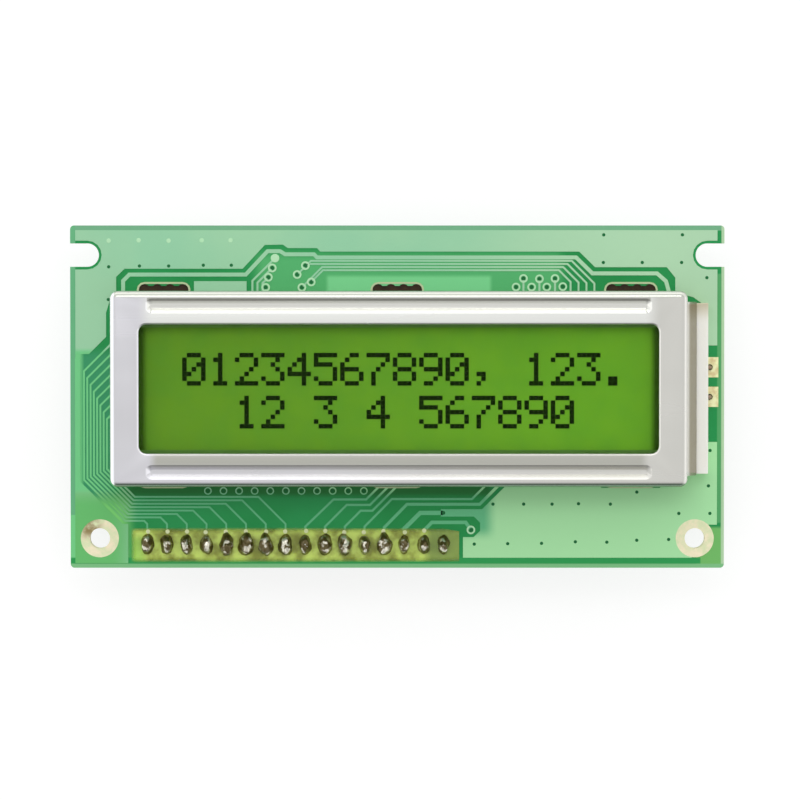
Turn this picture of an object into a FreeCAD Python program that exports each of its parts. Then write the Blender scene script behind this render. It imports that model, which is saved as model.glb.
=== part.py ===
# Character LCD module: a glass display cell in a stamped metal bezel over a circuit board.
#
# Frame: the origin lies on the board's front face, midway between the two lower mounting holes.
# +X runs to the right along the text, +Y up the board and +Z out of the display's face.
import FreeCAD, Part

import math
import os

import Sketcher
from FreeCAD import Vector

document = FreeCAD.newDocument("character_lcd_module")

# Driving dimensions: alias, value in millimetres (angles in degrees), what it is.
DRIVING_DIMENSIONS = [
    ("board_width", 84.0, "circuit board, left to right"),
    ("board_depth", 44.0, "circuit board, bottom to top"),
    ("board_thickness", 1.6, "circuit board laminate"),
    ("board_corner_radius", 0.5, "circuit board corners"),
    ("plating", 0.05, "height of tinned copper over the board's faces"),
    ("hole_side_inset", 3.75, "mounting hole axes in from the side edges"),
    ("hole_inset", 3.8, "mounting hole axes above the bottom edge"),
    ("hole_diameter", 2.6, "finished mounting hole"),
    ("hole_land_diameter", 4.9, "tinned ring round a mounting hole"),
    ("corner_slot_width", 3.0, "open slots in the upper corners"),
    ("corner_slot_reach", 2.2, "side edge to the centre of the slot's round end"),
    ("corner_slot_inset", 3.8, "slot's centre line below the top edge"),
    ("display_right", 0.2, "display centre right of the board's centre"),
    ("display_up", 1.15, "display centre above the board's centre"),
    ("glass_width", 71.3, "both glasses, left to right"),
    ("front_glass_height", 23.9, "front glass with its two contact ledges"),
    ("rear_glass_height", 18.6, "rear glass, between the contact ledges"),
    ("glass_thickness", 1.1, "each glass"),
    ("cell_gap", 0.05, "between the glasses"),
    ("seal_width", 1.2, "glue line round the cell"),
    ("seal_inset", 0.3, "glue line in from the rear glass's edge"),
    ("fill_port_width", 2.6, "gap in the glue line at the left"),
    ("plug_bulge", 0.35, "fill port plug past the glass edge"),
    ("plug_height", 1.3, "fill port plug, front to back"),
    ("polarizer_width", 68.0, "both polarizing films"),
    ("polarizer_height", 17.8, "both polarizing films"),
    ("polarizer_thickness", 0.25, "both polarizing films"),
    ("zebra_length", 66.0, "elastomer connectors"),
    ("zebra_width", 1.5, "elastomer connectors"),
    ("zebra_gap", 0.15, "backlight's side to a connector"),
    ("backlight_left_reach", 35.4, "display centre to the backlight's left end"),
    ("backlight_right_reach", 39.5, "display centre to the backlight's right end"),
    ("backlight_height", 18.7, "backlight between the connectors"),
    ("backlight_thickness", 3.2, "backlight body"),
    ("end_block_length", 3.9, "wide right end of the backlight"),
    ("end_block_height", 21.8, "wide right end of the backlight, bottom to top"),
    ("backlight_wall", 1.0, "backlight side walls"),
    ("backlight_floor", 0.5, "backlight floor"),
    ("bay_roof", 0.5, "roof over the lamps"),
    ("film_thickness", 0.1, "reflector film"),
    ("diffuser_thickness", 0.2, "diffuser film"),
    ("diffuser_width", 70.4, "diffuser film"),
    ("guide_clearance", 0.1, "light guide to its tray"),
    ("lamp_depth", 1.0, "backlight lamps along X"),
    ("lamp_width", 2.0, "backlight lamps along Y"),
    ("lamp_height", 1.2, "backlight lamps"),
    ("lamp_pitch", 5.0, "between backlight lamps"),
    ("lamp_count", 3, "backlight lamps"),
    ("lamp_gap", 0.3, "light guide to the lamps"),
    ("lamp_board_thickness", 0.8, "small board behind the lamps"),
    ("lamp_board_height", 2.2, "small board behind the lamps"),
    ("lamp_board_length", 14.0, "small board behind the lamps"),
    ("lead_diameter", 0.5, "backlight wire leads"),
    ("lead_drill", 0.8, "holes for the leads"),
    ("lead_rise", 1.2, "lead axes over the board"),
    ("lead_overhang", 0.45, "backlight's right end to the leads' holes"),
    ("lead_bend_radius", 0.42, "centre line of the leads' bends"),
    ("lead_tail", 0.9, "lead past the board's back"),
    ("lead_spacing", 3.8, "between the two leads"),
    ("lead_up", 0.75, "midway between the leads, above the display centre"),
    ("lead_pad_width", 1.35, "backlight pads along X"),
    ("lead_pad_height", 2.6, "backlight pads along Y"),
    ("lead_pad_edge", 0.2, "pad's left edge past the backlight's end"),
    ("lead_joint_radius", 0.85, "solder joint on the back"),
    ("lead_joint_height", 0.7, "solder joint on the back"),
    ("bezel_width", 73.3, "bezel outside, left to right"),
    ("bezel_height", 24.9, "bezel outside, bottom to top"),
    ("bezel_sheet", 0.4, "sheet thickness"),
    ("bezel_corner_radius", 1.0, "bezel corners seen from the front"),
    ("bezel_bend_radius", 0.8, "outer radius of the folded edges"),
    ("window_width", 66.0, "window in the bezel"),
    ("window_height", 16.4, "window in the bezel"),
    ("window_corner_radius", 1.0, "window corners"),
    ("window_rim_ease", 0.2, "eased front rim of the window"),
    ("bead_length", 64.4, "stiffening beads"),
    ("bead_width", 1.85, "stiffening beads at the face"),
    ("bead_depth", 0.6, "stiffening beads, so that they press on the glass"),
    ("bead_slope", 35.0, "bead walls away from square"),
    ("bead_offset", 10.55, "display centre to the beads' centre lines"),
    ("corner_relief", 1.5, "open notch between two folded walls"),
    ("flap_length", 22.1, "flared right flap along Y"),
    ("flap_drop", 2.9, "flared right flap, down its slope"),
    ("flap_angle", 28.0, "flared right flap away from the vertical"),
    ("tab_width", 5.0, "twist tabs along X"),
    ("tab_reach", 2.0, "twist tabs past the board's back"),
    ("tab_twist", 30.0, "turn of a tab's end"),
    ("tab_spacing", 30.0, "between neighbouring tabs"),
    ("tab_slot_length", 6.4, "board slots for the tabs"),
    ("tab_slot_width", 1.5, "drill hits of the board slots"),
    ("tab_slot_channel", 1.0, "channel that joins the drill hits"),
    ("tab_slot_hits", 4, "drill hits in each slot"),
    ("tab_slot_shift", 0.35, "slots sit this far above the tabs"),
    ("tab_land_margin", 0.25, "tinned ring round a slot"),
    ("pin_count", 16, "header pins"),
    ("pin_pitch", 2.54, "header pins"),
    ("pin_side", 0.64, "square pins"),
    ("pin_tip", 0.2, "chamfer at both ends of a pin"),
    ("pin_drill", 1.0, "board holes of the pins"),
    ("pin_front", 1.15, "pin ends in front of the board"),
    ("pin_back", 6.0, "pin ends behind the housing"),
    ("first_pin_gap", 6.1, "left mounting hole's axis to the first pin's axis"),
    ("header_inset", 3.0, "pin axes above the board's bottom edge"),
    ("housing_width", 2.5, "header housing"),
    ("housing_height", 2.54, "header housing"),
    ("housing_notch", 0.45, "corner notches between housing cells"),
    ("land_width", 1.7, "header lands along X"),
    ("land_length", 2.8, "header lands along Y"),
    ("joint_height", 1.55, "header solder over the board"),
    ("controller_left", 13.0, "controller chip left of the display centre"),
    ("driver_right", 16.0, "driver chip right of the display centre"),
    ("chip_up", 0.5, "both chips above the display centre"),
    ("controller_width", 4.4, "controller die"),
    ("controller_height", 3.8, "controller die"),
    ("driver_width", 3.6, "driver die"),
    ("driver_height", 3.0, "driver die"),
    ("die_thickness", 0.4, "both dies"),
    ("controller_glob_radius", 7.0, "epoxy over the controller"),
    ("driver_glob_radius", 6.2, "epoxy over the driver"),
    ("glob_height", 1.5, "epoxy over both dies"),
    ("chip_length", 2.0, "chip resistors and capacitors"),
    ("chip_width", 1.25, "chip resistors and capacitors"),
    ("resistor_thickness", 0.5, "chip resistors"),
    ("capacitor_thickness", 0.85, "chip capacitors"),
    ("cap_length", 0.35, "metal end caps of the chips"),
    ("ladder_count", 5, "bias resistors in a row"),
    ("ladder_pitch", 3.0, "between bias resistors"),
    ("ladder_left", 3.0, "first bias resistor, right of the last header pin"),
    ("ladder_rise", 1.6, "bias resistors above the hole line"),
    ("clock_resistor_up", 10.5, "clock resistor above the controller"),
    ("lamp_resistor_left", 4.0, "lamp resistors left of the leads"),
    ("lamp_resistor_pitch", 3.2, "between the two lamp resistors"),
    ("capacitor_up", 10.5, "supply capacitors above the driver"),
    ("capacitor_pitch", 5.0, "between the two supply capacitors"),
]

sheet = document.addObject("Spreadsheet::Sheet", "driving_dimensions")
sheet.Label = "driving dimensions"
for row, (alias, value, note) in enumerate(DRIVING_DIMENSIONS, start=1):
    sheet.set(f"A{row}", note)
    sheet.set(f"B{row}", str(value))
    sheet.setAlias(f"B{row}", alias)
document.recompute()


def cell(alias):
    """The expression that reads one driving dimension."""
    return f"{sheet.Name}.{alias}"


def size(expression):
    """The present value of an expression of the sheet, as a plain number."""
    value = sheet.evalExpression(str(expression))
    return float(getattr(value, "Value", value))


# Places that several pieces share, as expressions of the sheet.
BOARD_BOTTOM = f"(-{cell('hole_inset')})"
BOARD_TOP = f"({cell('board_depth')} - {cell('hole_inset')})"
BOARD_BACK = f"(-{cell('board_thickness')})"
HOLE_X = f"({cell('board_width')} / 2 - {cell('hole_side_inset')})"
DISPLAY_X = cell("display_right")
DISPLAY_Y = f"({cell('board_depth')} / 2 - {cell('hole_inset')} + {cell('display_up')})"

# Heights of the stack over the board's front face, from the backlight up to the bezel's face.
BACKLIGHT_TOP = cell("backlight_thickness")
DIFFUSER_TOP = f"({BACKLIGHT_TOP} + {cell('diffuser_thickness')})"
REAR_POLARIZER_TOP = f"({DIFFUSER_TOP} + {cell('polarizer_thickness')})"
REAR_GLASS_TOP = f"({REAR_POLARIZER_TOP} + {cell('glass_thickness')})"
CELL_TOP = f"({REAR_GLASS_TOP} + {cell('cell_gap')})"
FRONT_GLASS_TOP = f"({CELL_TOP} + {cell('glass_thickness')})"
BEZEL_FACE = f"({FRONT_GLASS_TOP} + {cell('bead_depth')} + {cell('bezel_sheet')})"

# The tray, the lamp bay and the leads follow each other to the right inside the backlight.
BAY_LENGTH = (f"({cell('lamp_gap')} + {cell('lamp_depth')} + {cell('lamp_board_thickness')}"
              f" + {cell('guide_clearance')})")
TRAY_LEFT = f"({DISPLAY_X} - {cell('backlight_left_reach')} + {cell('backlight_wall')})"
TRAY_RIGHT = (f"({DISPLAY_X} + {cell('backlight_right_reach')} - {cell('end_block_length')}"
              f" - {cell('backlight_wall')} / 2)")
BAY_RIGHT = f"({TRAY_RIGHT} + {BAY_LENGTH})"
BACKLIGHT_END = f"({DISPLAY_X} + {cell('backlight_right_reach')})"
LEAD_X = f"({BACKLIGHT_END} + {cell('lead_overhang')})"
LEAD_MIDDLE_Y = f"({DISPLAY_Y} + {cell('lead_up')})"
TRAY_INNER_HEIGHT = f"({cell('backlight_height')} - 2 * {cell('backlight_wall')})"

# The header row.
FIRST_PIN_X = f"({cell('first_pin_gap')} - {HOLE_X})"
HEADER_LENGTH = f"({cell('pin_count')} * {cell('pin_pitch')})"
HEADER_X = f"({FIRST_PIN_X} + ({cell('pin_count')} - 1) * {cell('pin_pitch')} / 2)"
HEADER_Y = f"({cell('header_inset')} - {cell('hole_inset')})"
HOUSING_BACK = f"({BOARD_BACK} - {cell('housing_height')})"

# The folded walls' middle planes, which the tabs continue.
WALL_OFFSET = f"({cell('bezel_height')} / 2 - {cell('bezel_sheet')} / 2)"


def bind(item, **expressions):
    """Tie each named property of an object to an expression of the sheet."""
    for name, expression in expressions.items():
        item.setExpression(name, str(expression))


def place(item, x="0", y="0", z="0"):
    """Tie an object's position to three expressions of the sheet."""
    for axis, expression in zip("xyz", (x, y, z)):
        item.setExpression(f"Placement.Base.{axis}", str(expression))


def block(label, width, depth, height, x, y, z):
    """A box centred on x and y whose underside is at z."""
    item = document.addObject("Part::Box", label)
    bind(item, Length=width, Width=depth, Height=height)
    place(item, f"{x} - ({width}) / 2", f"{y} - ({depth}) / 2", z)
    return item


def cylinder(label, radius, height, x, y, z):
    """An upright cylinder whose lower end is at z."""
    item = document.addObject("Part::Cylinder", label)
    bind(item, Radius=radius, Height=height)
    place(item, x, y, z)
    return item


def post(label, radius, height, x, y, z, sides=12):
    """An upright many-sided post for a small round form, its lower end at z."""
    item = document.addObject("Part::Prism", label)
    item.Polygon = sides
    bind(item, Circumradius=radius, Height=height)
    place(item, x, y, z)
    return item


def cut(label, base, *tools):
    """The base with every tool taken away."""
    tool = tools[0] if len(tools) == 1 else fuse(f"{label}_tools", *tools)
    item = document.addObject("Part::Cut", label)
    item.Base = base
    item.Tool = tool
    return item


def fuse(label, *pieces):
    """All the pieces joined into one shape."""
    item = document.addObject("Part::MultiFuse", label)
    item.Shapes = list(pieces)
    return item


def group(label, pieces):
    """Like pieces that stay separate solids and share one sub-part."""
    item = document.addObject("Part::Compound", label)
    item.Links = pieces
    return item


def made(label, shape):
    """A sub-part whose shape comes from Part's own functions."""
    item = document.addObject("Part::Feature", label)
    item.Shape = shape
    return item


def body(label, x="0", y="0", z="0"):
    """An empty PartDesign body at a place given by expressions."""
    item = document.addObject("PartDesign::Body", label)
    place(item, x, y, z)
    return item


def origin_plane(owner, role):
    """One of a body's own origin planes or axes."""
    return next(item for item in owner.Origin.OriginFeatures if item.Role == role)


def add_sketch(owner, name, x="0", y="0", z="0"):
    """An empty sketch parallel to a body's XY plane, its own origin moved to x, y, z."""
    sketch = owner.newObject("Sketcher::SketchObject", name)
    sketch.AttachmentSupport = (origin_plane(owner, "XY_Plane"), "")
    sketch.MapMode = "FlatFace"
    for axis, expression in zip("xyz", (x, y, z)):
        sketch.setExpression(f"AttachmentOffset.Base.{axis}", str(expression))
    return sketch


def rectangle_sketch(owner, name, width, height, x="0", y="0", z="0"):
    """A sketch of one rectangle, symmetric about the sketch's own origin."""
    sketch = add_sketch(owner, name, x, y, z)
    half_width = size(width) / 2
    half_height = size(height) / 2
    corners = [Vector(-half_width, -half_height), Vector(half_width, -half_height),
               Vector(half_width, half_height), Vector(-half_width, half_height)]
    for index, start in enumerate(corners):
        sketch.addGeometry(Part.LineSegment(start, corners[(index + 1) % 4]))
    for index in range(4):
        sketch.addConstraint(Sketcher.Constraint("Coincident", index, 2, (index + 1) % 4, 1))
    for side, direction in enumerate(("Horizontal", "Vertical", "Horizontal", "Vertical")):
        sketch.addConstraint(Sketcher.Constraint(direction, side))
    sketch.addConstraint(Sketcher.Constraint("Symmetric", 0, 1, 2, 1, -1, 1))
    across = sketch.addConstraint(Sketcher.Constraint("DistanceX", 0, 1, 0, 2, 2 * half_width))
    upward = sketch.addConstraint(Sketcher.Constraint("DistanceY", 1, 1, 1, 2, 2 * half_height))
    sketch.setExpression(f"Constraints[{across}]", str(width))
    sketch.setExpression(f"Constraints[{upward}]", str(height))
    return sketch


def circle_sketch(owner, name, diameter, x="0", y="0", z="0"):
    """A sketch of one circle about the sketch's own origin."""
    sketch = add_sketch(owner, name, x, y, z)
    sketch.addGeometry(Part.Circle(Vector(0, 0, 0), Vector(0, 0, 1), size(diameter) / 2))
    sketch.addConstraint(Sketcher.Constraint("Coincident", 0, 3, -1, 1))
    across = sketch.addConstraint(Sketcher.Constraint("Diameter", 0, size(diameter)))
    sketch.setExpression(f"Constraints[{across}]", str(diameter))
    return sketch


def pad(owner, name, sketch, length):
    """Grow a sketch along +Z."""
    item = owner.newObject("PartDesign::Pad", name)
    item.Profile = sketch
    bind(item, Length=length)
    document.recompute()
    return item


def pocket(owner, name, sketch, length):
    """Cut a sketch into the body along -Z."""
    item = owner.newObject("PartDesign::Pocket", name)
    item.Profile = sketch
    bind(item, Length=length)
    document.recompute()
    return item


def through(owner, name, sketch):
    """Cut a sketch right through the body, both ways."""
    item = owner.newObject("PartDesign::Pocket", name)
    item.Profile = sketch
    item.Type = "ThroughAll"
    item.SideType = "Symmetric"
    document.recompute()
    return item


def edges_where(feature, test):
    """Names of a feature's edges whose two ends both pass a test."""
    return [f"Edge{number}" for number, edge in enumerate(feature.Shape.Edges, start=1)
            if all(test(vertex.Point) for vertex in edge.Vertexes) and edge.Length > 1e-6]


def upright_edges(feature, test):
    """Names of a feature's edges that run along Z and whose ends pass a test."""
    names = []
    for number, edge in enumerate(feature.Shape.Edges, start=1):
        ends = [vertex.Point for vertex in edge.Vertexes]
        if len(ends) == 2 and abs(ends[0].x - ends[1].x) + abs(ends[0].y - ends[1].y) < 1e-6:
            if test(ends[0]):
                names.append(f"Edge{number}")
    return names


def round_edges(owner, name, feature, edge_names, radius):
    """Fillet the named edges of a feature."""
    item = owner.newObject("PartDesign::Fillet", name)
    item.Base = (feature, edge_names)
    bind(item, Radius=radius)
    document.recompute()
    return item


# Circuit board: a routed and drilled laminate.
def circuit_board():
    owner = body("board_blank")
    outline = rectangle_sketch(owner, "board_outline", cell("board_width"), cell("board_depth"),
                               y=f"({BOARD_BOTTOM} + {BOARD_TOP}) / 2", z=BOARD_BACK)
    plate = pad(owner, "board_plate", outline, cell("board_thickness"))
    rounded = round_edges(owner, "board_corners", plate, upright_edges(plate, lambda end: True),
                          cell("board_corner_radius"))
    slot_y = f"{BOARD_TOP} - {cell('corner_slot_inset')}"
    slot_x = f"{cell('board_width')} / 2 - {cell('corner_slot_reach')}"
    mouth = through(owner, "corner_slot_mouth", rectangle_sketch(
        owner, "corner_slot_mouth_outline", f"2 * {cell('corner_slot_reach')}", cell("corner_slot_width"),
        x=f"{cell('board_width')} / 2", y=slot_y))
    end = through(owner, "corner_slot_end", circle_sketch(
        owner, "corner_slot_end_outline", cell("corner_slot_width"), x=slot_x, y=slot_y))
    drill = through(owner, "mounting_hole", circle_sketch(
        owner, "mounting_hole_outline", f"{cell('hole_diameter')} + 2 * {cell('plating')}",
        x=HOLE_X))
    both_sides = owner.newObject("PartDesign::Mirrored", "left_and_right")
    both_sides.Originals = [mouth, end, drill]
    both_sides.MirrorPlane = (origin_plane(owner, "YZ_Plane"), [""])
    owner.Tip = both_sides
    document.recompute()
    pin_holes = [drill_hit(f"board_pin_hole_{number + 1}", "pin_drill", pin_x(number), HEADER_Y)
                 for number in range(int(size(cell("pin_count"))))]
    lead_holes = [drill_hit(f"board_lead_hole_{side}", "lead_drill", LEAD_X, lead_y)
                  for side, lead_y in lead_places()]
    tab_slots = [tab_slot_cutter(*spot) for spot in tab_places()]
    return cut("circuit_board", owner, *pin_holes, *lead_holes, *tab_slots)


def drill_hit(label, diameter, x, y):
    """A small hole's tool, eight-sided, that passes through the board and whatever lies on it."""
    return post(label, f"{cell(diameter)} / 2", f"3 * {cell('board_thickness')}", x, y, f"2 * {BOARD_BACK}",
                sides=8)


def lead_places():
    """Name and Y expression of the two backlight leads."""
    return [("anode", f"({LEAD_MIDDLE_Y} + {cell('lead_spacing')} / 2)"),
            ("cathode", f"({LEAD_MIDDLE_Y} - {cell('lead_spacing')} / 2)")]


def tab_places():
    """Name, X expression and wall side (1 top, -1 bottom) of the six tabs."""
    return [(f"{row}_{column}", f"({steps} * {cell('tab_spacing')})", side)
            for row, side in (("top", 1), ("bottom", -1))
            for column, steps in (("left", -1), ("middle", 0), ("right", 1))]


def tab_slot_y(side):
    """Centre line of a row of tab slots."""
    return f"({DISPLAY_Y} + {side} * {WALL_OFFSET} + {cell('tab_slot_shift')})"


def tab_slot_cutter(name, x, side):
    """A chain of drill hits joined by a channel, tall enough for the board and its lands."""
    y = tab_slot_y(side)
    height = f"3 * {cell('board_thickness')}"
    low = f"2 * {BOARD_BACK}"
    end = f"(({cell('tab_slot_length')} - {cell('tab_slot_width')}) / 2)"
    hits = [post(f"slot_{name}_hit_{number + 1}", f"{cell('tab_slot_width')} / 2", height,
                 f"{x} - {end} + 2 * {end} * {number} / ({cell('tab_slot_hits')} - 1)", y, low)
            for number in range(int(size(cell("tab_slot_hits"))))]
    channel = block(f"slot_{name}_channel", f"2 * {end}", cell("tab_slot_channel"), height, x, y, low)
    return fuse(f"slot_{name}", channel, *hits)


# Tinned copper on the board: rings, slot rings, header lands and backlight pads.
def mounting_hole_lands():
    radius = f"({cell('hole_diameter')} / 2)"
    rivets = []
    for name, side in (("left", -1), ("right", 1)):
        x = f"{side} * {HOLE_X}"
        land_radius = f"{cell('hole_land_diameter')} / 2"
        front = cylinder(f"{name}_land_front", land_radius, cell("plating"), x, "0", "0")
        rear = cylinder(f"{name}_land_rear", land_radius, cell("plating"), x, "0",
                        f"{BOARD_BACK} - {cell('plating')}")
        barrel = cylinder(f"{name}_barrel", f"{radius} + {cell('plating')}", cell("board_thickness"), x, "0",
                          BOARD_BACK)
        bore = cylinder(f"{name}_bore", radius, f"3 * {cell('board_thickness')}", x, "0", f"2 * {BOARD_BACK}")
        rivets.append(cut(f"{name}_rivet", fuse(f"{name}_rivet_blank", front, rear, barrel), bore))
    return group("mounting_hole_lands", rivets)


def long_pad(label, length, width, height, x, y, z, along="x"):
    """A strip with round ends; length and width are over all."""
    straight = f"({length} - {width})"
    run = (straight, width) if along == "x" else (width, straight)
    pieces = [block(f"{label}_strip", *run, height, x, y, z)]
    for end, side in (("start", -1), ("finish", 1)):
        shift = f"{side} * {straight} / 2"
        end_x, end_y = (f"{x} + {shift}", y) if along == "x" else (x, f"{y} + {shift}")
        pieces.append(post(f"{label}_{end}", f"{width} / 2", height, end_x, end_y, z))
    return fuse(f"{label}_blank", *pieces)


def tab_slot_lands():
    rings = []
    length = cell("tab_slot_length")
    width = cell("tab_slot_width")
    ring = f"2 * {cell('tab_land_margin')}"
    for name, x, side in tab_places():
        y = tab_slot_y(side)
        for face, z in (("front", "0"), ("rear", f"({BOARD_BACK} - {cell('plating')})")):
            title = f"slot_land_{name}_{face}"
            outside = long_pad(title, f"({length} + {ring})", f"({width} + {ring})", cell("plating"), x, y, z)
            inside = long_pad(f"{title}_opening", length, width, f"3 * {cell('plating')}", x, y,
                              f"{z} - {cell('plating')}")
            rings.append(cut(title, outside, inside))
    return group("tab_slot_lands", rings)


def header_lands():
    lands = []
    for number in range(int(size(cell("pin_count")))):
        title = f"header_land_{number + 1}"
        pad_blank = long_pad(title, cell("land_length"), cell("land_width"), cell("plating"), pin_x(number),
                             HEADER_Y, "0", along="y")
        lands.append(cut(title, pad_blank, drill_hit(f"{title}_hole", "pin_drill", pin_x(number), HEADER_Y)))
    return group("header_lands", lands)


def backlight_lands():
    pads = []
    x = f"({BACKLIGHT_END} + {cell('lead_pad_edge')} + {cell('lead_pad_width')} / 2)"
    for side, y in lead_places():
        front = block(f"{side}_pad_blank", cell("lead_pad_width"), cell("lead_pad_height"), cell("plating"),
                      x, y, "0")
        rear = post(f"{side}_ring_blank", cell("lead_joint_radius"), cell("plating"), LEAD_X, y,
                    f"{BOARD_BACK} - {cell('plating')}")
        for face, blank in (("pad", front), ("ring", rear)):
            hole = drill_hit(f"{side}_{face}_hole", "lead_drill", LEAD_X, y)
            pads.append(cut(f"{side}_{face}", blank, hole))
    return group("backlight_lands", pads)


# Pin header: a moulded strip behind the board, square pins, and their joints in front.
def pin_x(number):
    """X expression of a header pin, counted from nought at the left."""
    return f"({FIRST_PIN_X} + {number} * {cell('pin_pitch')})"


def header_housing():
    owner = body("header_housing", HEADER_X, HEADER_Y, HOUSING_BACK)
    strip = pad(owner, "housing_strip", rectangle_sketch(owner, "housing_outline", HEADER_LENGTH,
                                                         cell("housing_width")), cell("housing_height"))
    first = f"(-({cell('pin_count')} - 1) * {cell('pin_pitch')} / 2)"
    hole = through(owner, "housing_pin_hole", rectangle_sketch(
        owner, "housing_pin_hole_outline", cell("pin_side"), cell("pin_side"), x=first))
    holes = owner.newObject("PartDesign::LinearPattern", "housing_pin_holes")
    holes.Originals = [hole]
    holes.Direction = (origin_plane(owner, "X_Axis"), [""])
    bind(holes, Length=f"({cell('pin_count')} - 1) * {cell('pin_pitch')}", Occurrences=cell("pin_count"))
    owner.Tip = holes
    document.recompute()
    notches = []
    for name, side in (("front", 1), ("rear", -1)):
        notches.append(through(owner, f"housing_notch_{name}", diamond_sketch(
            owner, f"housing_notch_{name}_outline", cell("housing_notch"),
            x=f"{first} - {cell('pin_pitch')} / 2", y=f"{side} * {cell('housing_width')} / 2")))
    rows = owner.newObject("PartDesign::LinearPattern", "housing_notches")
    rows.Originals = notches
    rows.Direction = (origin_plane(owner, "X_Axis"), [""])
    bind(rows, Length=HEADER_LENGTH, Occurrences=f"{cell('pin_count')} + 1")
    owner.Tip = rows
    document.recompute()
    return owner


def diamond_sketch(owner, name, reach, x, y):
    """A square on its corner whose corners lie at the given reach from its centre."""
    sketch = add_sketch(owner, name, x, y)
    span = size(reach)
    corners = [Vector(span, 0), Vector(0, span), Vector(-span, 0), Vector(0, -span)]
    for index, start in enumerate(corners):
        sketch.addGeometry(Part.LineSegment(start, corners[(index + 1) % 4]))
    for index in range(4):
        sketch.addConstraint(Sketcher.Constraint("Coincident", index, 2, (index + 1) % 4, 1))
    for index, axis in ((0, -1), (1, -2)):
        sketch.addConstraint(Sketcher.Constraint("PointOnObject", index, 1, axis))
    sketch.addConstraint(Sketcher.Constraint("Symmetric", 0, 1, 2, 1, -1, 1))
    sketch.addConstraint(Sketcher.Constraint("Symmetric", 1, 1, 3, 1, -1, 1))
    for corner, direction in ((0, "DistanceX"), (1, "DistanceY")):
        number = sketch.addConstraint(Sketcher.Constraint(direction, -1, 1, corner, 1, span))
        sketch.setExpression(f"Constraints[{number}]", str(reach))
    return sketch


def header_pins():
    side = size(cell("pin_side"))
    low = size(HOUSING_BACK) - size(cell("pin_back"))
    length = size(cell("pin_front")) - low
    blank = Part.makeBox(side, side, length, Vector(-side / 2, -side / 2, low))
    ends = [edge for edge in blank.Edges if abs(edge.Vertexes[0].Z - edge.Vertexes[-1].Z) < side / 2]
    pin = blank.makeChamfer(size(cell("pin_tip")), ends)
    pins = [pin.translated(Vector(size(pin_x(number)), size(HEADER_Y), 0))
            for number in range(int(size(cell("pin_count"))))]
    return made("header_pins", Part.makeCompound(pins))


def header_solder(pins):
    """Fillets that rise from each oblong land and close over the pin's end."""
    foot = size(cell("plating"))
    top = size(cell("joint_height"))
    half_width = size(cell("land_width")) / 2
    half_length = size(cell("land_length")) / 2
    waist = size(cell("pin_side")) * math.sqrt(0.5) + foot
    joints = []
    for number, pin in enumerate(pins.Shape.Solids):
        centre = Vector(size(pin_x(number)), size(HEADER_Y), 0)
        rings = []
        for share, blend in ((0.0, 1.0), (0.25, 0.55), (0.6, 0.2), (0.9, -0.1), (1.0, -0.65)):
            x_radius = waist + (half_width - waist) * blend if blend >= 0 else waist * (1 + blend)
            y_radius = waist + (half_length - waist) * blend if blend >= 0 else waist * (1 + blend)
            height = foot + (top - foot) * share
            rings.append(ellipse_ring(centre + Vector(0, 0, height), x_radius, y_radius))
        joints.append(stacked_rings(rings).cut(pin))
    return made("header_solder", Part.makeCompound(joints))


def ellipse_ring(centre, x_radius, y_radius, sides=8):
    """The points of a ring of equal steps round an ellipse."""
    return [centre + Vector(x_radius * math.cos(2 * math.pi * step / sides),
                            y_radius * math.sin(2 * math.pi * step / sides), 0)
            for step in range(sides)]


def stacked_rings(rings):
    """A solid whose skin runs in flat triangles from each ring of points to the next."""
    loops = [rings[0], rings[-1]]
    for lower, upper in zip(rings, rings[1:]):
        for index, corner in enumerate(lower):
            after = (index + 1) % len(lower)
            loops.append([corner, lower[after], upper[after]])
            loops.append([corner, upper[after], upper[index]])
    skin = Part.Shell([Part.Face(Part.makePolygon(loop + loop[:1])) for loop in loops])
    solid = Part.Solid(skin)
    return solid if solid.Volume > 0 else solid.reversed()


# Backlight: a moulded tray with a lamp bay at its right end.
def backlight_frame(leads):
    middle = f"(({DISPLAY_X} - {cell('backlight_left_reach')} + {BACKLIGHT_END}) / 2)"
    tray = block("tray_blank", f"{cell('backlight_left_reach')} + {cell('backlight_right_reach')}",
                 cell("backlight_height"), cell("backlight_thickness"), middle, DISPLAY_Y, "0")
    end_block = block("end_block", cell("end_block_length"), cell("end_block_height"),
                      cell("backlight_thickness"), f"({BACKLIGHT_END} - {cell('end_block_length')} / 2)",
                      DISPLAY_Y, "0")
    tray_room = block("tray_room", f"{TRAY_RIGHT} - {TRAY_LEFT}", TRAY_INNER_HEIGHT,
                      cell("backlight_thickness"), f"(({TRAY_LEFT} + {TRAY_RIGHT}) / 2)", DISPLAY_Y,
                      cell("backlight_floor"))
    bay_room = block("bay_room", BAY_LENGTH, TRAY_INNER_HEIGHT,
                     f"{cell('backlight_thickness')} - {cell('bay_roof')} + {cell('board_thickness')}",
                     f"({TRAY_RIGHT} + {BAY_LENGTH} / 2)", DISPLAY_Y, BOARD_BACK)
    return cut("backlight_frame", fuse("backlight_blank", tray, end_block), tray_room, bay_room, leads)


def guide_block(label, height, z):
    """A sheet that lies in the tray with a small clearance all round."""
    width = f"({TRAY_RIGHT} - {TRAY_LEFT} - 2 * {cell('guide_clearance')})"
    depth = f"({TRAY_INNER_HEIGHT} - 2 * {cell('guide_clearance')})"
    return block(label, width, depth, height, f"(({TRAY_LEFT} + {TRAY_RIGHT}) / 2)", DISPLAY_Y, z)


def led_board():
    x = f"({BAY_RIGHT} - {cell('guide_clearance')} - {cell('lamp_board_thickness')} / 2)"
    return block("led_board", cell("lamp_board_thickness"), cell("lamp_board_length"),
                 cell("lamp_board_height"), x, DISPLAY_Y, "0")


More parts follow.
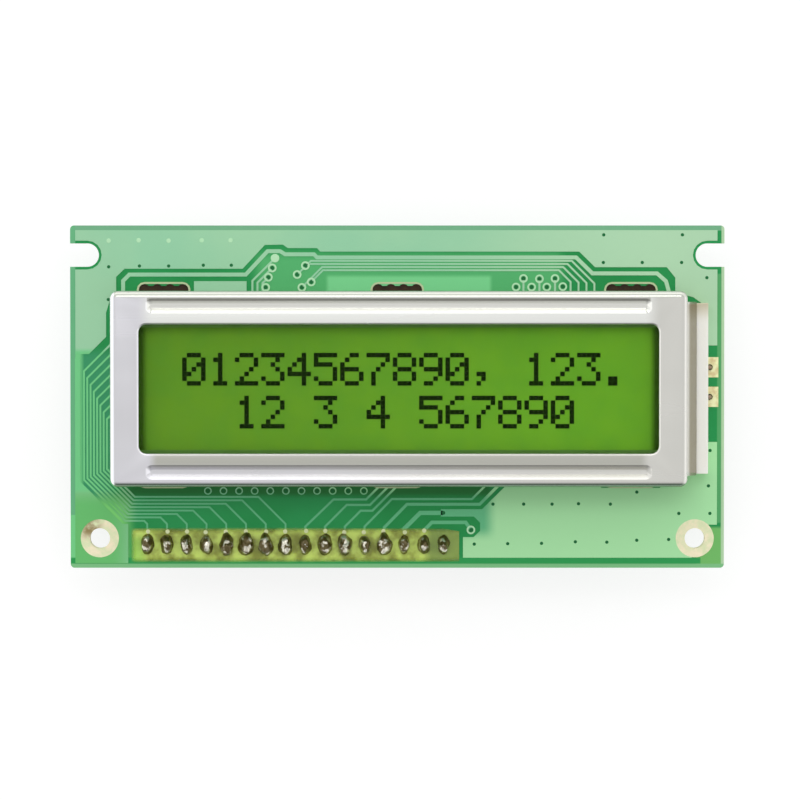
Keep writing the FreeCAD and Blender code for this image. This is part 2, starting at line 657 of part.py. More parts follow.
def led_lamps():
    x = f"({TRAY_RIGHT} + {cell('lamp_gap')} + {cell('lamp_depth')} / 2)"
    z = f"({cell('lamp_board_height')} - {cell('lamp_height')}) / 2"
    first = f"({DISPLAY_Y} - ({cell('lamp_count')} - 1) * {cell('lamp_pitch')} / 2)"
    lamps = [block(f"lamp_{number + 1}", cell("lamp_depth"), cell("lamp_width"), cell("lamp_height"), x,
                   f"({first} + {number} * {cell('lamp_pitch')})", z)
             for number in range(int(size(cell("lamp_count"))))]
    return group("led_lamps", lamps)


LEAD_SIDES = 10


def backlight_leads():
    """Two round wires from the lamp board out of the end wall and down through the board."""
    radius = size(cell("lead_diameter")) / 2
    bend = size(cell("lead_bend_radius"))
    rise = size(cell("lead_rise"))
    start_x = size(BAY_RIGHT) - size(cell("guide_clearance"))
    drop_x = size(LEAD_X)
    tail_z = size(BOARD_BACK) - size(cell("lead_tail"))
    wires = []
    for side, lead_y in lead_places():
        y = size(lead_y)
        start = Vector(start_x, y, rise)
        turn_in = Vector(drop_x - bend, y, rise)
        turn_out = Vector(drop_x, y, rise - bend)
        middle = Vector(drop_x - bend + bend * math.sin(math.pi / 4), y,
                        rise - bend + bend * math.cos(math.pi / 4))
        path = Part.Wire([Part.makeLine(start, turn_in), Part.Arc(turn_in, middle, turn_out).toShape(),
                          Part.makeLine(turn_out, Vector(drop_x, y, tail_z))])
        rim = []
        for step in range(LEAD_SIDES):
            turn = 2 * math.pi * step / LEAD_SIDES
            rim.append(start + Vector(0, radius * math.cos(turn), radius * math.sin(turn)))
        section = Part.makePolygon(rim + rim[:1])
        wires.append(path.makePipeShell([section], True, False))
    return made("backlight_leads", Part.makeCompound(wires))


def backlight_lead_solder(leads):
    """Cones of solder round the leads' tails on the board's back."""
    plating = size(cell("plating"))
    height = size(cell("lead_joint_height"))
    foot_radius = size(cell("lead_joint_radius")) - plating
    tip_radius = size(cell("lead_diameter")) / 2 + plating
    profile = ((0.0, foot_radius), (0.4 * height, (foot_radius + tip_radius) / 2), (height, tip_radius))
    joints = []
    for (side, y), lead in zip(lead_places(), leads.Shape.Solids):
        centre = Vector(size(LEAD_X), size(y), size(BOARD_BACK) - plating)
        rings = [ellipse_ring(centre - Vector(0, 0, rise), radius, radius) for rise, radius in profile]
        joints.append(stacked_rings(rings).cut(lead))
    return made("backlight_lead_solder", Part.makeCompound(joints))


# Glass cell: two glasses, their glue line, the liquid between them and the films outside.
def sheet_part(label, width, height, thickness, z):
    """A flat piece centred on the display."""
    return block(label, width, height, thickness, DISPLAY_X, DISPLAY_Y, z)


def cell_seal():
    outer_width = f"({cell('glass_width')} - 2 * {cell('seal_inset')})"
    outer_height = f"({cell('rear_glass_height')} - 2 * {cell('seal_inset')})"
    outline = sheet_part("seal_outline", outer_width, outer_height, cell("cell_gap"), REAR_GLASS_TOP)
    inside = sheet_part("seal_inside", f"{outer_width} - 2 * {cell('seal_width')}",
                        f"{outer_height} - 2 * {cell('seal_width')}", cell("cell_gap"), REAR_GLASS_TOP)
    port = block("seal_port", f"4 * {cell('seal_width')}", cell("fill_port_width"), cell("cell_gap"),
                 f"({DISPLAY_X} - {cell('glass_width')} / 2)", DISPLAY_Y, REAR_GLASS_TOP)
    return cut("cell_seal", outline, inside, port)


def liquid_crystal():
    margin = f"2 * ({cell('seal_inset')} + {cell('seal_width')})"
    return sheet_part("liquid_crystal", f"{cell('glass_width')} - {margin}",
                      f"{cell('rear_glass_height')} - {margin}", cell("cell_gap"), REAR_GLASS_TOP)


def fill_port_plug():
    """A flattened bead of cured glue on the left edge of both glasses."""
    narrowed = 0.6
    width = cell("fill_port_width")
    height = cell("plug_height")
    item = document.addObject("Part::Wedge", "fill_port_plug")
    bind(item, Xmin=f"-{width} / 2", Xmax=f"{width} / 2", Zmin=f"-{height} / 2", Zmax=f"{height} / 2",
         Ymin="0", Ymax=cell("plug_bulge"),
         X2min=f"-{width} / 2 * {narrowed}", X2max=f"{width} / 2 * {narrowed}",
         Z2min=f"-{height} / 2 * {narrowed}", Z2max=f"{height} / 2 * {narrowed}")
    item.Placement.Rotation = FreeCAD.Rotation(Vector(0, 0, 1), 90)
    place(item, f"{DISPLAY_X} - {cell('glass_width')} / 2", DISPLAY_Y,
          f"({REAR_GLASS_TOP} + {CELL_TOP}) / 2")
    return item


def zebra_strip(label, side):
    offset = f"({cell('backlight_height')} / 2 + {cell('zebra_gap')} + {cell('zebra_width')} / 2)"
    return block(label, cell("zebra_length"), cell("zebra_width"), CELL_TOP, DISPLAY_X,
                 f"({DISPLAY_Y} + {side} * {offset})", "0")


# Bezel: one blank, drawn and folded, with a window, two beads, a flared flap and six twist tabs.
def bezel():
    shell = bezel_shell()
    slope = f"tan({cell('bead_slope')} * 1 deg)"
    ridge_margin = f"({cell('bezel_sheet')} * (1 / cos({cell('bead_slope')} * 1 deg) - {slope}))"
    ridges = []
    grooves = []
    for name, side in (("upper", 1), ("lower", -1)):
        y = f"({DISPLAY_Y} + {side} * {cell('bead_offset')})"
        ridge_length = f"({cell('bead_length')} + 2 * {ridge_margin})"
        ridge_width = f"({cell('bead_width')} + 2 * {ridge_margin})"
        ridges.append(tapered_bar(f"{name}_ridge", ridge_length, ridge_width, cell("bead_depth"), slope, y,
                                  f"({BEZEL_FACE} - {cell('bezel_sheet')})"))
        grooves.append(tapered_bar(f"{name}_groove", cell("bead_length"), cell("bead_width"),
                                   cell("bead_depth"), slope, y, BEZEL_FACE))
    pieces = [shell, *ridges, *right_flap()]
    pieces += [made(f"tab_{name}", twist_tab(x, side)) for name, x, side in tab_places()]
    return cut("bezel", fuse("bezel_solid", *pieces), *grooves)


def bezel_shell():
    """The folded sheet: face, three upright walls, corner reliefs and window."""
    owner = body("bezel_shell", DISPLAY_X, DISPLAY_Y)
    seat = cell("plating")
    blank = pad(owner, "bezel_blank", rectangle_sketch(
        owner, "bezel_outline", cell("bezel_width"), cell("bezel_height"), z=seat), f"{BEZEL_FACE} - {seat}")
    face_z = size(BEZEL_FACE)
    corners = round_edges(owner, "bezel_corners", blank, upright_edges(blank, lambda end: True),
                          cell("bezel_corner_radius"))
    face_edges = edges_where(corners, lambda end: abs(end.z - face_z) < 1e-6)
    bends = round_edges(owner, "bezel_bends", corners, face_edges, cell("bezel_bend_radius"))
    floor_name = next(f"Face{number}" for number, face in enumerate(bends.Shape.Faces, start=1)
                      if face.BoundBox.ZMax < size(seat) + 1e-6)
    folded = owner.newObject("PartDesign::Thickness", "bezel_sheet_metal")
    folded.Base = (bends, [floor_name])
    folded.Reversed = True
    bind(folded, Value=cell("bezel_sheet"))
    document.recompute()
    fold_z = f"({BEZEL_FACE} - {cell('bezel_bend_radius')})"
    wall_drop = f"({fold_z} - {seat})"
    reliefs = []
    for name, x_side, y_side in (("upper_left", -1, 1), ("lower_left", -1, -1),
                                 ("upper_right", 1, 1), ("lower_right", 1, -1)):
        reliefs.append(pocket(owner, f"{name}_relief", rectangle_sketch(
            owner, f"{name}_relief_outline", f"2 * {cell('corner_relief')}", f"2 * {cell('corner_relief')}",
            x=f"{x_side} * {cell('bezel_width')} / 2", y=f"{y_side} * {cell('bezel_height')} / 2", z=fold_z),
            wall_drop))
    pocket(owner, "right_wall_opening", rectangle_sketch(
        owner, "right_wall_opening_outline", f"2 * {cell('bezel_corner_radius')}", cell("bezel_height"),
        x=f"{cell('bezel_width')} / 2", z=fold_z), wall_drop)
    window = pocket(owner, "window", rectangle_sketch(
        owner, "window_outline", cell("window_width"), cell("window_height"), z=BEZEL_FACE),
        f"2 * {cell('bezel_sheet')}")
    half_width = size(cell("window_width")) / 2
    half_height = size(cell("window_height")) / 2

    def in_window(end):
        """Whether a point of the body lies on the window's outline."""
        return abs(end.x) < half_width + 1e-6 and abs(end.y) < half_height + 1e-6

    rounded = round_edges(owner, "window_corners", window, upright_edges(window, in_window),
                          cell("window_corner_radius"))
    rim = edges_where(rounded, lambda end: in_window(end) and abs(end.z - face_z) < 1e-6)
    eased = owner.newObject("PartDesign::Chamfer", "window_rim")
    eased.Base = (rounded, rim)
    bind(eased, Size=cell("window_rim_ease"))
    document.recompute()
    return owner


def tapered_bar(label, length, width, depth, slope, y, top):
    """A bar with sloping sides and ends that narrows downwards from top."""
    item = document.addObject("Part::Wedge", label)
    bind(item, Xmin=f"-{length} / 2", Xmax=f"{length} / 2", Zmin=f"-{width} / 2", Zmax=f"{width} / 2",
         Ymin="0", Ymax=depth,
         X2min=f"-{length} / 2 + {depth} * {slope}", X2max=f"{length} / 2 - {depth} * {slope}",
         Z2min=f"-{width} / 2 + {depth} * {slope}", Z2max=f"{width} / 2 - {depth} * {slope}")
    item.Placement.Rotation = FreeCAD.Rotation(Vector(1, 0, 0), -90)
    place(item, DISPLAY_X, y, top)
    return item


def right_flap():
    """The flap over the backlight's end: a round fold and a leaf that flares outwards."""
    half_sheet = f"({cell('bezel_sheet')} / 2)"
    fold_x = f"({DISPLAY_X} + {cell('bezel_width')} / 2 - {half_sheet})"
    fold_z = f"({BEZEL_FACE} - {cell('bezel_bend_radius')})"
    low_y = f"({DISPLAY_Y} - {cell('flap_length')} / 2)"
    fold = document.addObject("Part::Cylinder", "flap_fold")
    bind(fold, Radius=half_sheet, Height=cell("flap_length"))
    fold.Placement.Rotation = FreeCAD.Rotation(Vector(1, 0, 0), -90)
    place(fold, fold_x, low_y, fold_z)
    leaf = document.addObject("Part::Box", "flap_leaf")
    bind(leaf, Length=cell("bezel_sheet"), Width=cell("flap_length"), Height=cell("flap_drop"))
    turn = f"({cell('flap_angle')} * 1 deg)"
    leaf.setExpression("Placement.Rotation.Axis.y", "-1")
    leaf.setExpression("Placement.Rotation.Axis.z", "0")
    leaf.setExpression("Placement.Rotation.Angle", turn)
    place(leaf, f"{fold_x} - {half_sheet} * cos{turn} + {cell('flap_drop')} * sin{turn}", low_y,
          f"{fold_z} - {half_sheet} * sin{turn} - {cell('flap_drop')} * cos{turn}")
    return [fold, leaf]


def twist_tab(x, side):
    """A tongue that continues a wall through its slot and is twisted behind the board."""
    half_width = size(cell("tab_width")) / 2
    half_sheet = size(cell("bezel_sheet")) / 2
    centre_x = size(x)
    centre_y = size(f"{DISPLAY_Y} + {side} * {WALL_OFFSET}")
    wall_end = size(cell("plating"))
    back = size(BOARD_BACK) - size(cell("plating"))
    straight = Part.makeBox(2 * half_width, 2 * half_sheet, 2 * wall_end - back,
                            Vector(centre_x - half_width, centre_y - half_sheet, back))
    rings = []
    for share in (0.0, 0.5, 1.0):
        turn = math.radians(size(cell("tab_twist"))) * share
        z = back - size(cell("tab_reach")) * share
        corners = [(-half_width, -half_sheet), (half_width, -half_sheet), (half_width, half_sheet),
                   (-half_width, half_sheet)]
        rings.append([Vector(centre_x + u * math.cos(turn) - v * math.sin(turn),
                             centre_y + u * math.sin(turn) + v * math.cos(turn), z) for u, v in corners])
    return straight.fuse(stacked_rings(rings))


# Behind the board: two bonded dies under epoxy, and small chips.
def die_centre(name):
    """X and Y expressions of a die's centre."""
    offset = {"controller": f"- {cell('controller_left')}", "driver": f"+ {cell('driver_right')}"}[name]
    return f"({DISPLAY_X} {offset})", f"({DISPLAY_Y} + {cell('chip_up')})"


def die(name):
    x, y = die_centre(name)
    return block(f"{name}_die", cell(f"{name}_width"), cell(f"{name}_height"), cell("die_thickness"), x, y,
                 f"({BOARD_BACK} - {cell('die_thickness')})")


def glob_top(name, covered):
    """A low dome of epoxy turned from a few flats, with the die set into it."""
    x, y = die_centre(name)
    radius = size(cell(f"{name}_glob_radius"))
    height = size(cell("glob_height"))
    steps = 3
    profile = [Vector(radius * math.cos(math.pi / 2 * step / steps), 0,
                      -height * math.sin(math.pi / 2 * step / steps)) for step in range(steps)]
    profile += [Vector(0, 0, -height), Vector(0, 0, 0)]
    dome = Part.Face(Part.makePolygon(profile + profile[:1])).revolve(Vector(0, 0, 0), Vector(0, 0, 1), 360)
    dome.translate(Vector(size(x), size(y), size(BOARD_BACK)))
    return made(f"{name}_glob_top", dome.cut(covered.Shape))


def chip_places():
    """Name, X and Y expressions and kind of each small chip on the back."""
    ladder_x = f"{pin_x(int(size(cell('pin_count'))) - 1)} + {cell('ladder_left')}"
    places = [(f"ladder_{number + 1}", f"({ladder_x} + {number} * {cell('ladder_pitch')})",
               cell("ladder_rise"), "resistor") for number in range(int(size(cell("ladder_count"))))]
    controller_x, controller_y = die_centre("controller")
    driver_x, driver_y = die_centre("driver")
    places.append(("clock", controller_x, f"({controller_y} + {cell('clock_resistor_up')})", "resistor"))
    for name, side in (("upper", 1), ("lower", -1)):
        places.append((f"lamp_{name}", f"({LEAD_X} - {cell('lamp_resistor_left')})",
                       f"({LEAD_MIDDLE_Y} + {side} * {cell('lamp_resistor_pitch')} / 2)", "resistor"))
    for name, side in (("left", -1), ("right", 1)):
        places.append((f"supply_{name}", f"({driver_x} + {side} * {cell('capacitor_pitch')} / 2)",
                       f"({driver_y} + {cell('capacitor_up')})", "capacitor"))
    return places


def chip_bodies(label, kind):
    thickness = cell(f"{kind}_thickness")
    length = f"({cell('chip_length')} - 2 * {cell('cap_length')})"
    return group(label, [block(f"{name}_{kind}", length, cell("chip_width"), thickness, x, y,
                               f"({BOARD_BACK} - {thickness})")
                         for name, x, y, sort in chip_places() if sort == kind])


def chip_end_caps():
    caps = []
    for name, x, y, kind in chip_places():
        thickness = cell(f"{kind}_thickness")
        offset = f"({cell('chip_length')} / 2 - {cell('cap_length')} / 2)"
        for end, side in (("left", -1), ("right", 1)):
            caps.append(block(f"{name}_cap_{end}", cell("cap_length"), cell("chip_width"), thickness,
                              f"({x} + {side} * {offset})", y, f"({BOARD_BACK} - {thickness})"))
    return group("chip_end_caps", caps)


def build():
    """Every sub-part in the order in which the module goes together."""
    pins = header_pins()
    leads = backlight_leads()
    controller_die = die("controller")
    driver_die = die("driver")
    guide_height = f"({cell('backlight_thickness')} - {cell('backlight_floor')} - {cell('film_thickness')})"
    return [
        circuit_board(),
        mounting_hole_lands(),
        tab_slot_lands(),
        header_lands(),
        backlight_lands(),
        header_housing(),
        pins,
        header_solder(pins),
        controller_die,
        glob_top("controller", controller_die),
        driver_die,
        glob_top("driver", driver_die),
        chip_bodies("chip_resistors", "resistor"),
        chip_bodies("chip_capacitors", "capacitor"),
        chip_end_caps(),
        backlight_frame(leads),
        guide_block("reflector_film", cell("film_thickness"), cell("backlight_floor")),
        guide_block("light_guide", guide_height, f"({cell('backlight_floor')} + {cell('film_thickness')})"),
        led_board(),
        led_lamps(),
        leads,
        backlight_lead_solder(leads),
        sheet_part("diffuser_film", cell("diffuser_width"), cell("backlight_height"),
                   cell("diffuser_thickness"), BACKLIGHT_TOP),
        zebra_strip("zebra_strip_top", 1),
        zebra_strip("zebra_strip_bottom", -1),
        sheet_part("rear_polarizer", cell("polarizer_width"), cell("polarizer_height"),
                   cell("polarizer_thickness"), DIFFUSER_TOP),
        sheet_part("rear_glass", cell("glass_width"), cell("rear_glass_height"), cell("glass_thickness"),
                   REAR_POLARIZER_TOP),
        cell_seal(),
        liquid_crystal(),
        fill_port_plug(),
        sheet_part("front_glass", cell("glass_width"), cell("front_glass_height"), cell("glass_thickness"),
                   CELL_TOP),
        sheet_part("front_polarizer", cell("polarizer_width"), cell("polarizer_height"),
                   cell("polarizer_thickness"), FRONT_GLASS_TOP),
        bezel(),
    ]


def check(subparts):
    """Stop if any object failed or any sub-part has no sound solid shape."""
    for item in document.Objects:
        troubles = {"Invalid", "Error"} & set(item.State)
        if troubles:
            raise RuntimeError(f"{item.Label}: {', '.join(sorted(troubles))}")
    for item in subparts:
        if item.Shape.isNull() or not item.Shape.isValid() or not item.Shape.Solids:
            raise RuntimeError(f"{item.Label}: its shape is not a valid solid")


subparts = build()
document.recompute()
check(subparts)
os.makedirs("parts", exist_ok=True)
for item in subparts:
    item.Shape.exportStep(os.path.join("parts", f"{item.Label}.step"))
    print(f"{item.Label}: {len(item.Shape.Solids)} solids, {item.Shape.Volume:.3f} mm3")
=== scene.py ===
# Character LCD module: a glass display cell held by a stamped metal bezel on a green circuit board.
import math
import random

import bmesh
import bpy
from mathutils import Matrix, Vector, noise


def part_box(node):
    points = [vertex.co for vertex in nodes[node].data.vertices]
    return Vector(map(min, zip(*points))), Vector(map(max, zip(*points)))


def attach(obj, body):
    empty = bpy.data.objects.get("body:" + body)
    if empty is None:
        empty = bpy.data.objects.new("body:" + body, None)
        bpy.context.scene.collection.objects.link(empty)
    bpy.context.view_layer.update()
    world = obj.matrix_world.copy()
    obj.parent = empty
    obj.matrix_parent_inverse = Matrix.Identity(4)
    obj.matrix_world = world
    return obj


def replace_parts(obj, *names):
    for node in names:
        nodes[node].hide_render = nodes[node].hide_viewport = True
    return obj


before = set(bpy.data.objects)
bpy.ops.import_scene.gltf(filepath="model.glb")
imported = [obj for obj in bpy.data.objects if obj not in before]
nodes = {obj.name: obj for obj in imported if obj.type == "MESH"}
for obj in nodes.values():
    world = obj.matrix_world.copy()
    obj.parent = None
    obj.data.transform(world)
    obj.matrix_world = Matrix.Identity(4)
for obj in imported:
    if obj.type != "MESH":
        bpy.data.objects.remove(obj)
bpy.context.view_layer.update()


# Camera, nearly straight over the display as the photograph was taken, half a metre from the board.
# It leans a little to the upper edge, and its lens is long, so the bezel hides next to nothing.
camera_target = Vector((0.00035, 0.01779, 0.0))
camera_reach = 0.5
camera_lean = math.radians(1.5)
camera_data = bpy.data.cameras.new("camera")
camera_data.sensor_width = 36.0
camera_data.lens = 175.1
camera_data.clip_start = 0.01


def put_in_scene(name, data):
    """An object made from data, linked to the scene."""
    item = bpy.data.objects.new(name, data)
    bpy.context.scene.collection.objects.link(item)
    return item


camera = put_in_scene("camera", camera_data)
camera.location = camera_target + camera_reach * Vector((0.0, math.sin(camera_lean), math.cos(camera_lean)))
camera.rotation_euler = (-camera_lean, 0.0, 0.0)
bpy.context.scene.camera = camera
bpy.context.scene.view_settings.view_transform = "Standard"


# Light: a white tent, brighter at its sides than overhead and darkest in front, and one soft lamp high
# beyond the top edge, which puts the narrow shadow under the window's upper rim. The camera sees plain
# white behind the object, glass passes that on, and metal shows a share of it over the tent.
world = bpy.data.worlds.new("tent")
bpy.context.scene.world = world
world.use_nodes = True
sky = world.node_tree
sky.nodes.clear()


def feed(tree, socket, value):
    """Give a socket its value: a number, a colour or another node's socket."""
    if isinstance(value, bpy.types.NodeSocket):
        tree.links.new(value, socket)
    else:
        socket.default_value = value


def new_node(tree, kind, *values, **settings):
    """The outputs of a new node, whose first sockets take the values in turn."""
    item = tree.nodes.new("ShaderNode" + kind)
    for label, setting in settings.items():
        setattr(item, label, setting)
    for socket, value in zip(item.inputs, values):
        feed(tree, socket, value)
    return item.outputs


def reckon(tree, operation, *values):
    """The result of a sum on values."""
    return new_node(tree, "Math", *values, operation=operation)["Value"]


pure_white = (1.0, 1.0, 1.0, 1.0)
metal_share = 0.2
height = new_node(sky, "SeparateXYZ", new_node(sky, "TexCoord")["Generated"])
overhead = new_node(sky, "MapRange", height["Z"], 0.05, 0.68, 1.6, 0.8)["Result"]
front = new_node(sky, "MapRange", height["Y"], -0.9, -0.4, 0.12, 1.0)["Result"]
back = new_node(sky, "MapRange", height["Y"], 0.7, 0.95, 0.0, 0.5)["Result"]
tent = new_node(sky, "Background", pure_white, reckon(sky, "MULTIPLY_ADD", overhead, front, back))
white = new_node(sky, "Background", pure_white)
ray = new_node(sky, "LightPath")
direct = reckon(sky, "MAXIMUM", ray["Is Camera Ray"], ray["Is Transmission Ray"])
shown = reckon(sky, "MAXIMUM", direct, reckon(sky, "MULTIPLY", ray["Is Glossy Ray"], metal_share))
either = new_node(sky, "MixShader", shown, tent["Background"], white["Background"])
new_node(sky, "OutputWorld", either["Shader"])

lamp_data = bpy.data.lights.new("top_lamp", "AREA")
lamp_data.shape = "RECTANGLE"
lamp_data.size = 0.36
lamp_data.size_y = 0.16
lamp_data.energy = 0.35
lamp_aim = Vector((0.0, 0.02, 0.0))
lamp = put_in_scene("top_lamp", lamp_data)
lamp.location = (-0.02, 0.24, 0.52)
lamp.rotation_euler = (lamp_aim - lamp.location).to_track_quat("-Z", "Y").to_euler()


def tone(red, green, blue):
    """A colour as it shows on a screen, nought to 255, in the light values that shaders take."""
    return tuple(((part / 255 + 0.055) / 1.055) ** 2.4 if part > 10 else part / 255 / 12.92
                 for part in (red, green, blue)) + (1.0,)


mm = 0.001


class Finish:
    """A material's node tree, with the few joints that every finish here is made from."""

    def __init__(self, name, roughness=0.5, metallic=0.0, shine=0.5):
        self.material = bpy.data.materials.new(name)
        self.material.use_nodes = True
        self.tree = self.material.node_tree
        self.nodes = self.tree.nodes
        self.join = self.tree.links.new
        self.shader = self.nodes["Principled BSDF"]
        self.output = self.nodes["Material Output"]
        self.shader.inputs["Roughness"].default_value = roughness
        self.shader.inputs["Metallic"].default_value = metallic
        self.shader.inputs["Specular IOR Level"].default_value = shine
        self.place = self.new("TexCoord")["Object"]

    def new(self, kind, *values, **settings):
        """The outputs of a new node in this finish, fed with the values in turn."""
        return new_node(self.tree, kind, *values, **settings)

    def speckle(self, scale, stretch=(1.0, 1.0, 1.0), detail=2.0, rough=0.5):
        """Noise on the object's own coordinates, scale in features to the metre."""
        mapping = self.nodes.new("ShaderNodeMapping")
        mapping.inputs["Scale"].default_value = stretch
        grain = self.nodes.new("ShaderNodeTexNoise")
        grain.inputs["Scale"].default_value = scale
        grain.inputs["Detail"].default_value = detail
        grain.inputs["Roughness"].default_value = rough
        self.join(self.place, mapping.inputs["Vector"])
        self.join(mapping.outputs["Vector"], grain.inputs["Vector"])
        return grain.outputs["Fac"]

    def span(self, value, low, high, start=0.0, end=1.0):
        """A value from low to high carried on to start to end, smooth at both ends."""
        return self.new("MapRange", value, low, high, start, end, interpolation_type="SMOOTHSTEP")["Result"]

    def axis(self, letter):
        """One of the object's coordinates, in metres."""
        return self.new("SeparateXYZ", self.place)[letter]

    def product(self, first, second):
        """Two values multiplied."""
        return reckon(self.tree, "MULTIPLY", first, second)

    def patch(self, left, bottom, right, top, soft):
        """A soft-edged rectangle on the board, in millimetres: one inside it and nought outside."""
        sides = []
        for letter, low, high in (("X", left, right), ("Y", bottom, top)):
            along = self.axis(letter)
            rise = self.span(along, (low - soft) * mm, (low + soft) * mm)
            fall = self.span(along, (high - soft) * mm, (high + soft) * mm, 1.0, 0.0)
            sides.append(self.product(rise, fall))
        return self.product(*sides)

    def between(self, share, first, second):
        """A mix of two colours, each a colour or another mix."""
        item = self.nodes.new("ShaderNodeMix")
        item.data_type = "RGBA"
        for socket, value in ((item.inputs[0], share), (item.inputs[6], first), (item.inputs[7], second)):
            feed(self.tree, socket, value)
        return item.outputs[2]

    def tinted(self, base, tints, limit=None):
        """A colour with soft patches of other colours laid on it in turn, all of them kept to the limit.

        Each patch has its box and softness in millimetres, and then its tint.
        """
        for box, tint in tints.values():
            share = self.patch(*box)
            if limit is not None:
                share = self.product(limit, share)
            base = self.between(share, base, tint)
        return base

    def colour(self, source):
        """Set the surface's colour to a mix or a plain colour."""
        feed(self.tree, self.shader.inputs["Base Color"], source)

    def mottle(self, scale, first, second, **grain):
        """Set the surface's colour to two close tones mixed by fine noise."""
        self.colour(self.between(self.speckle(scale, **grain), first, second))

    def rough(self, source):
        """Let the roughness vary."""
        self.join(source, self.shader.inputs["Roughness"])

    def bumps(self, source, distance):
        """Relief of a height in metres."""
        item = self.nodes.new("ShaderNodeBump")
        item.inputs["Distance"].default_value = distance
        self.join(source, item.inputs["Height"])
        self.join(item.outputs["Normal"], self.shader.inputs["Normal"])


def dress(piece, finish):
    """Give a piece or a CAD node its finish."""
    piece.data.materials.clear()
    piece.data.materials.append(finish.material)


# Floor: a white table under the pins' ends. To the camera it is as white as the paper round the
# photograph's object, with a faint soft shadow kept. From below it isn't there.
floor_drop = -0.0104


def finished(work, name):
    """A bmesh's shape as a mesh of its own."""
    mesh = bpy.data.meshes.new(name)
    work.to_mesh(mesh)
    work.free()
    return mesh


sheet = bmesh.new()
bmesh.ops.create_grid(sheet, x_segments=1, y_segments=1, size=1.5,
                      matrix=Matrix.Translation((0.0, 0.0, floor_drop)))
floor = put_in_scene("floor", finished(sheet, "floor"))
table = Finish("table_white", roughness=0.9)
table.colour((0.8, 0.8, 0.8, 1.0))
lit_table = table.shader.outputs["BSDF"]
glow_strength = 1.25
glow_share = 0.6
glow = table.new("Emission", pure_white, glow_strength)["Emission"]
paper = table.new("MixShader", glow_share, lit_table, glow)["Shader"]
path = table.new("LightPath")
mirrored = reckon(table.tree, "MAXIMUM", path["Is Glossy Ray"], path["Is Transmission Ray"])
whitened = reckon(table.tree, "MAXIMUM", path["Is Camera Ray"], mirrored)
seen = table.new("MixShader", whitened, lit_table, paper)
see_through = table.new("BsdfTransparent")["BSDF"]
sided = table.new("MixShader", table.new("NewGeometry")["Backfacing"], seen["Shader"], see_through)
table.join(sided["Shader"], table.output.inputs["Surface"])
dress(floor, table)


# Board: a routed glass-fibre laminate under green solder mask, darkest where it is bare between
# tracks, and paler at the routed edge where the mask stops short of it.
mask_bare = tone(27, 141, 70)
mask_in_painted_shadow = tone(29, 116, 50)
laminate = Finish("green_laminate", roughness=0.32, shine=0.2)
cloudy = laminate.speckle(90.0, detail=3.0)
surface = laminate.between(laminate.span(cloudy, 0.3, 0.7), mask_bare, tone(38, 152, 82))
# One patch below is a painted shadow: darker mask under the bezel's lower edge, where the bezel's shade
# falls.
board_tints = {"bundle": ((-41.0, 1.5, -36.6, 24.0, 1.0), tone(58, 152, 102)),
               "lower left": ((-46.0, -8.0, -34.6, 5.0, 1.2), tone(126, 212, 117)),
               "far left foot": ((-46.0, -8.0, -39.4, 0.0, 1.5), tone(124, 200, 122)),
               "left margin": ((-46.0, -8.0, -40.5, 24.0, 0.35), tone(119, 210, 138)),
               "middle above the glass": ((-18.0, 30.0, 21.0, 36.5, 1.0), tone(84, 180, 110)),
               "behind the glass's edge": ((-9.0, 31.2, 12.0, 33.7, 0.35), tone(122, 212, 144)),
               "painted shadow under the bezel's lower edge": ((-34.5, 5.5, 12.0, 9.0, 0.5), mask_in_painted_shadow),
               "right-hand corner": ((38.4, -8.0, 46.0, 1.4, 0.25), tone(116, 190, 104)),
               "lower edge": ((-46.0, -3.3, 39.0, -2.5, 0.12), tone(44, 158, 82)),
               "right edge": ((41.1, 2.0, 41.6, 34.0, 0.1), tone(86, 168, 104)),
               "top strip": ((-46.0, 39.55, 46.0, 46.0, 0.08), tone(118, 180, 138)),
               "left strip": ((-46.0, 3.0, -41.35, 46.0, 0.08), tone(106, 184, 132)),
               "right strip": ((41.62, -8.0, 46.0, 46.0, 0.08), tone(180, 216, 172)),
               "bottom strip": ((-46.0, -8.0, 46.0, -3.28, 0.1), tone(128, 195, 135))}
front_from, front_whole = -0.9 * mm, -0.7 * mm
board_front = laminate.span(laminate.axis("Z"), front_from, front_whole)
surface = laminate.tinted(surface, board_tints, board_front)
slope = laminate.new("SeparateXYZ", laminate.new("NewGeometry")["True Normal"])["Z"]
level_face = laminate.span(reckon(laminate.tree, "ABSOLUTE", slope), 0.4, 0.6)
weave = laminate.speckle(2600.0, stretch=(1.0, 1.0, 5.0), detail=1.0)
fibre = laminate.between(weave, tone(150, 165, 110), tone(196, 200, 150))
laminate.colour(laminate.between(level_face, fibre, surface))
cloth = laminate.speckle(1500.0, detail=1.0)
laminate.bumps(cloth, 0.000012)
dress(nodes["circuit_board"], laminate)


# Copper under the mask: planes and tracks etched from one foil, so that they stand a little over the
# laminate and show pale green. The gaps between them are the dark lines of the photograph.
foil = 0.04
covered = Finish("masked_copper", roughness=0.3, shine=0.2)
drift = covered.speckle(60.0, detail=3.0)
pale = covered.between(covered.span(drift, 0.35, 0.65), tone(150, 208, 168), tone(160, 212, 170))
foil_front = covered.span(covered.axis("Z"), front_from, front_whole)
rightward = covered.product(foil_front, covered.span(covered.axis("X"), 0.0, 0.036))
pale = covered.between(rightward, pale, tone(178, 219, 180))
# The lower right patch is painted light: the copper is made paler there to offset the bezel's shadow.
foil_tints = {"lower right": ((-10.0, -8.0, 46.0, 14.0, 2.5), tone(174, 234, 173)),
              "lower left": ((-46.0, -8.0, -34.4, 6.5, 2.5), tone(106, 194, 112)),
              "bundle": ((-46.0, 6.0, -35.6, 24.2, 0.4), tone(118, 210, 139)),
              "header tracks": ((-34.0, 0.5, 12.0, 6.0, 1.0), tone(100, 188, 134))}
covered.colour(covered.tinted(pale, foil_tints, foil_front))
covered.bumps(covered.speckle(900.0, detail=1.0), 0.000008)


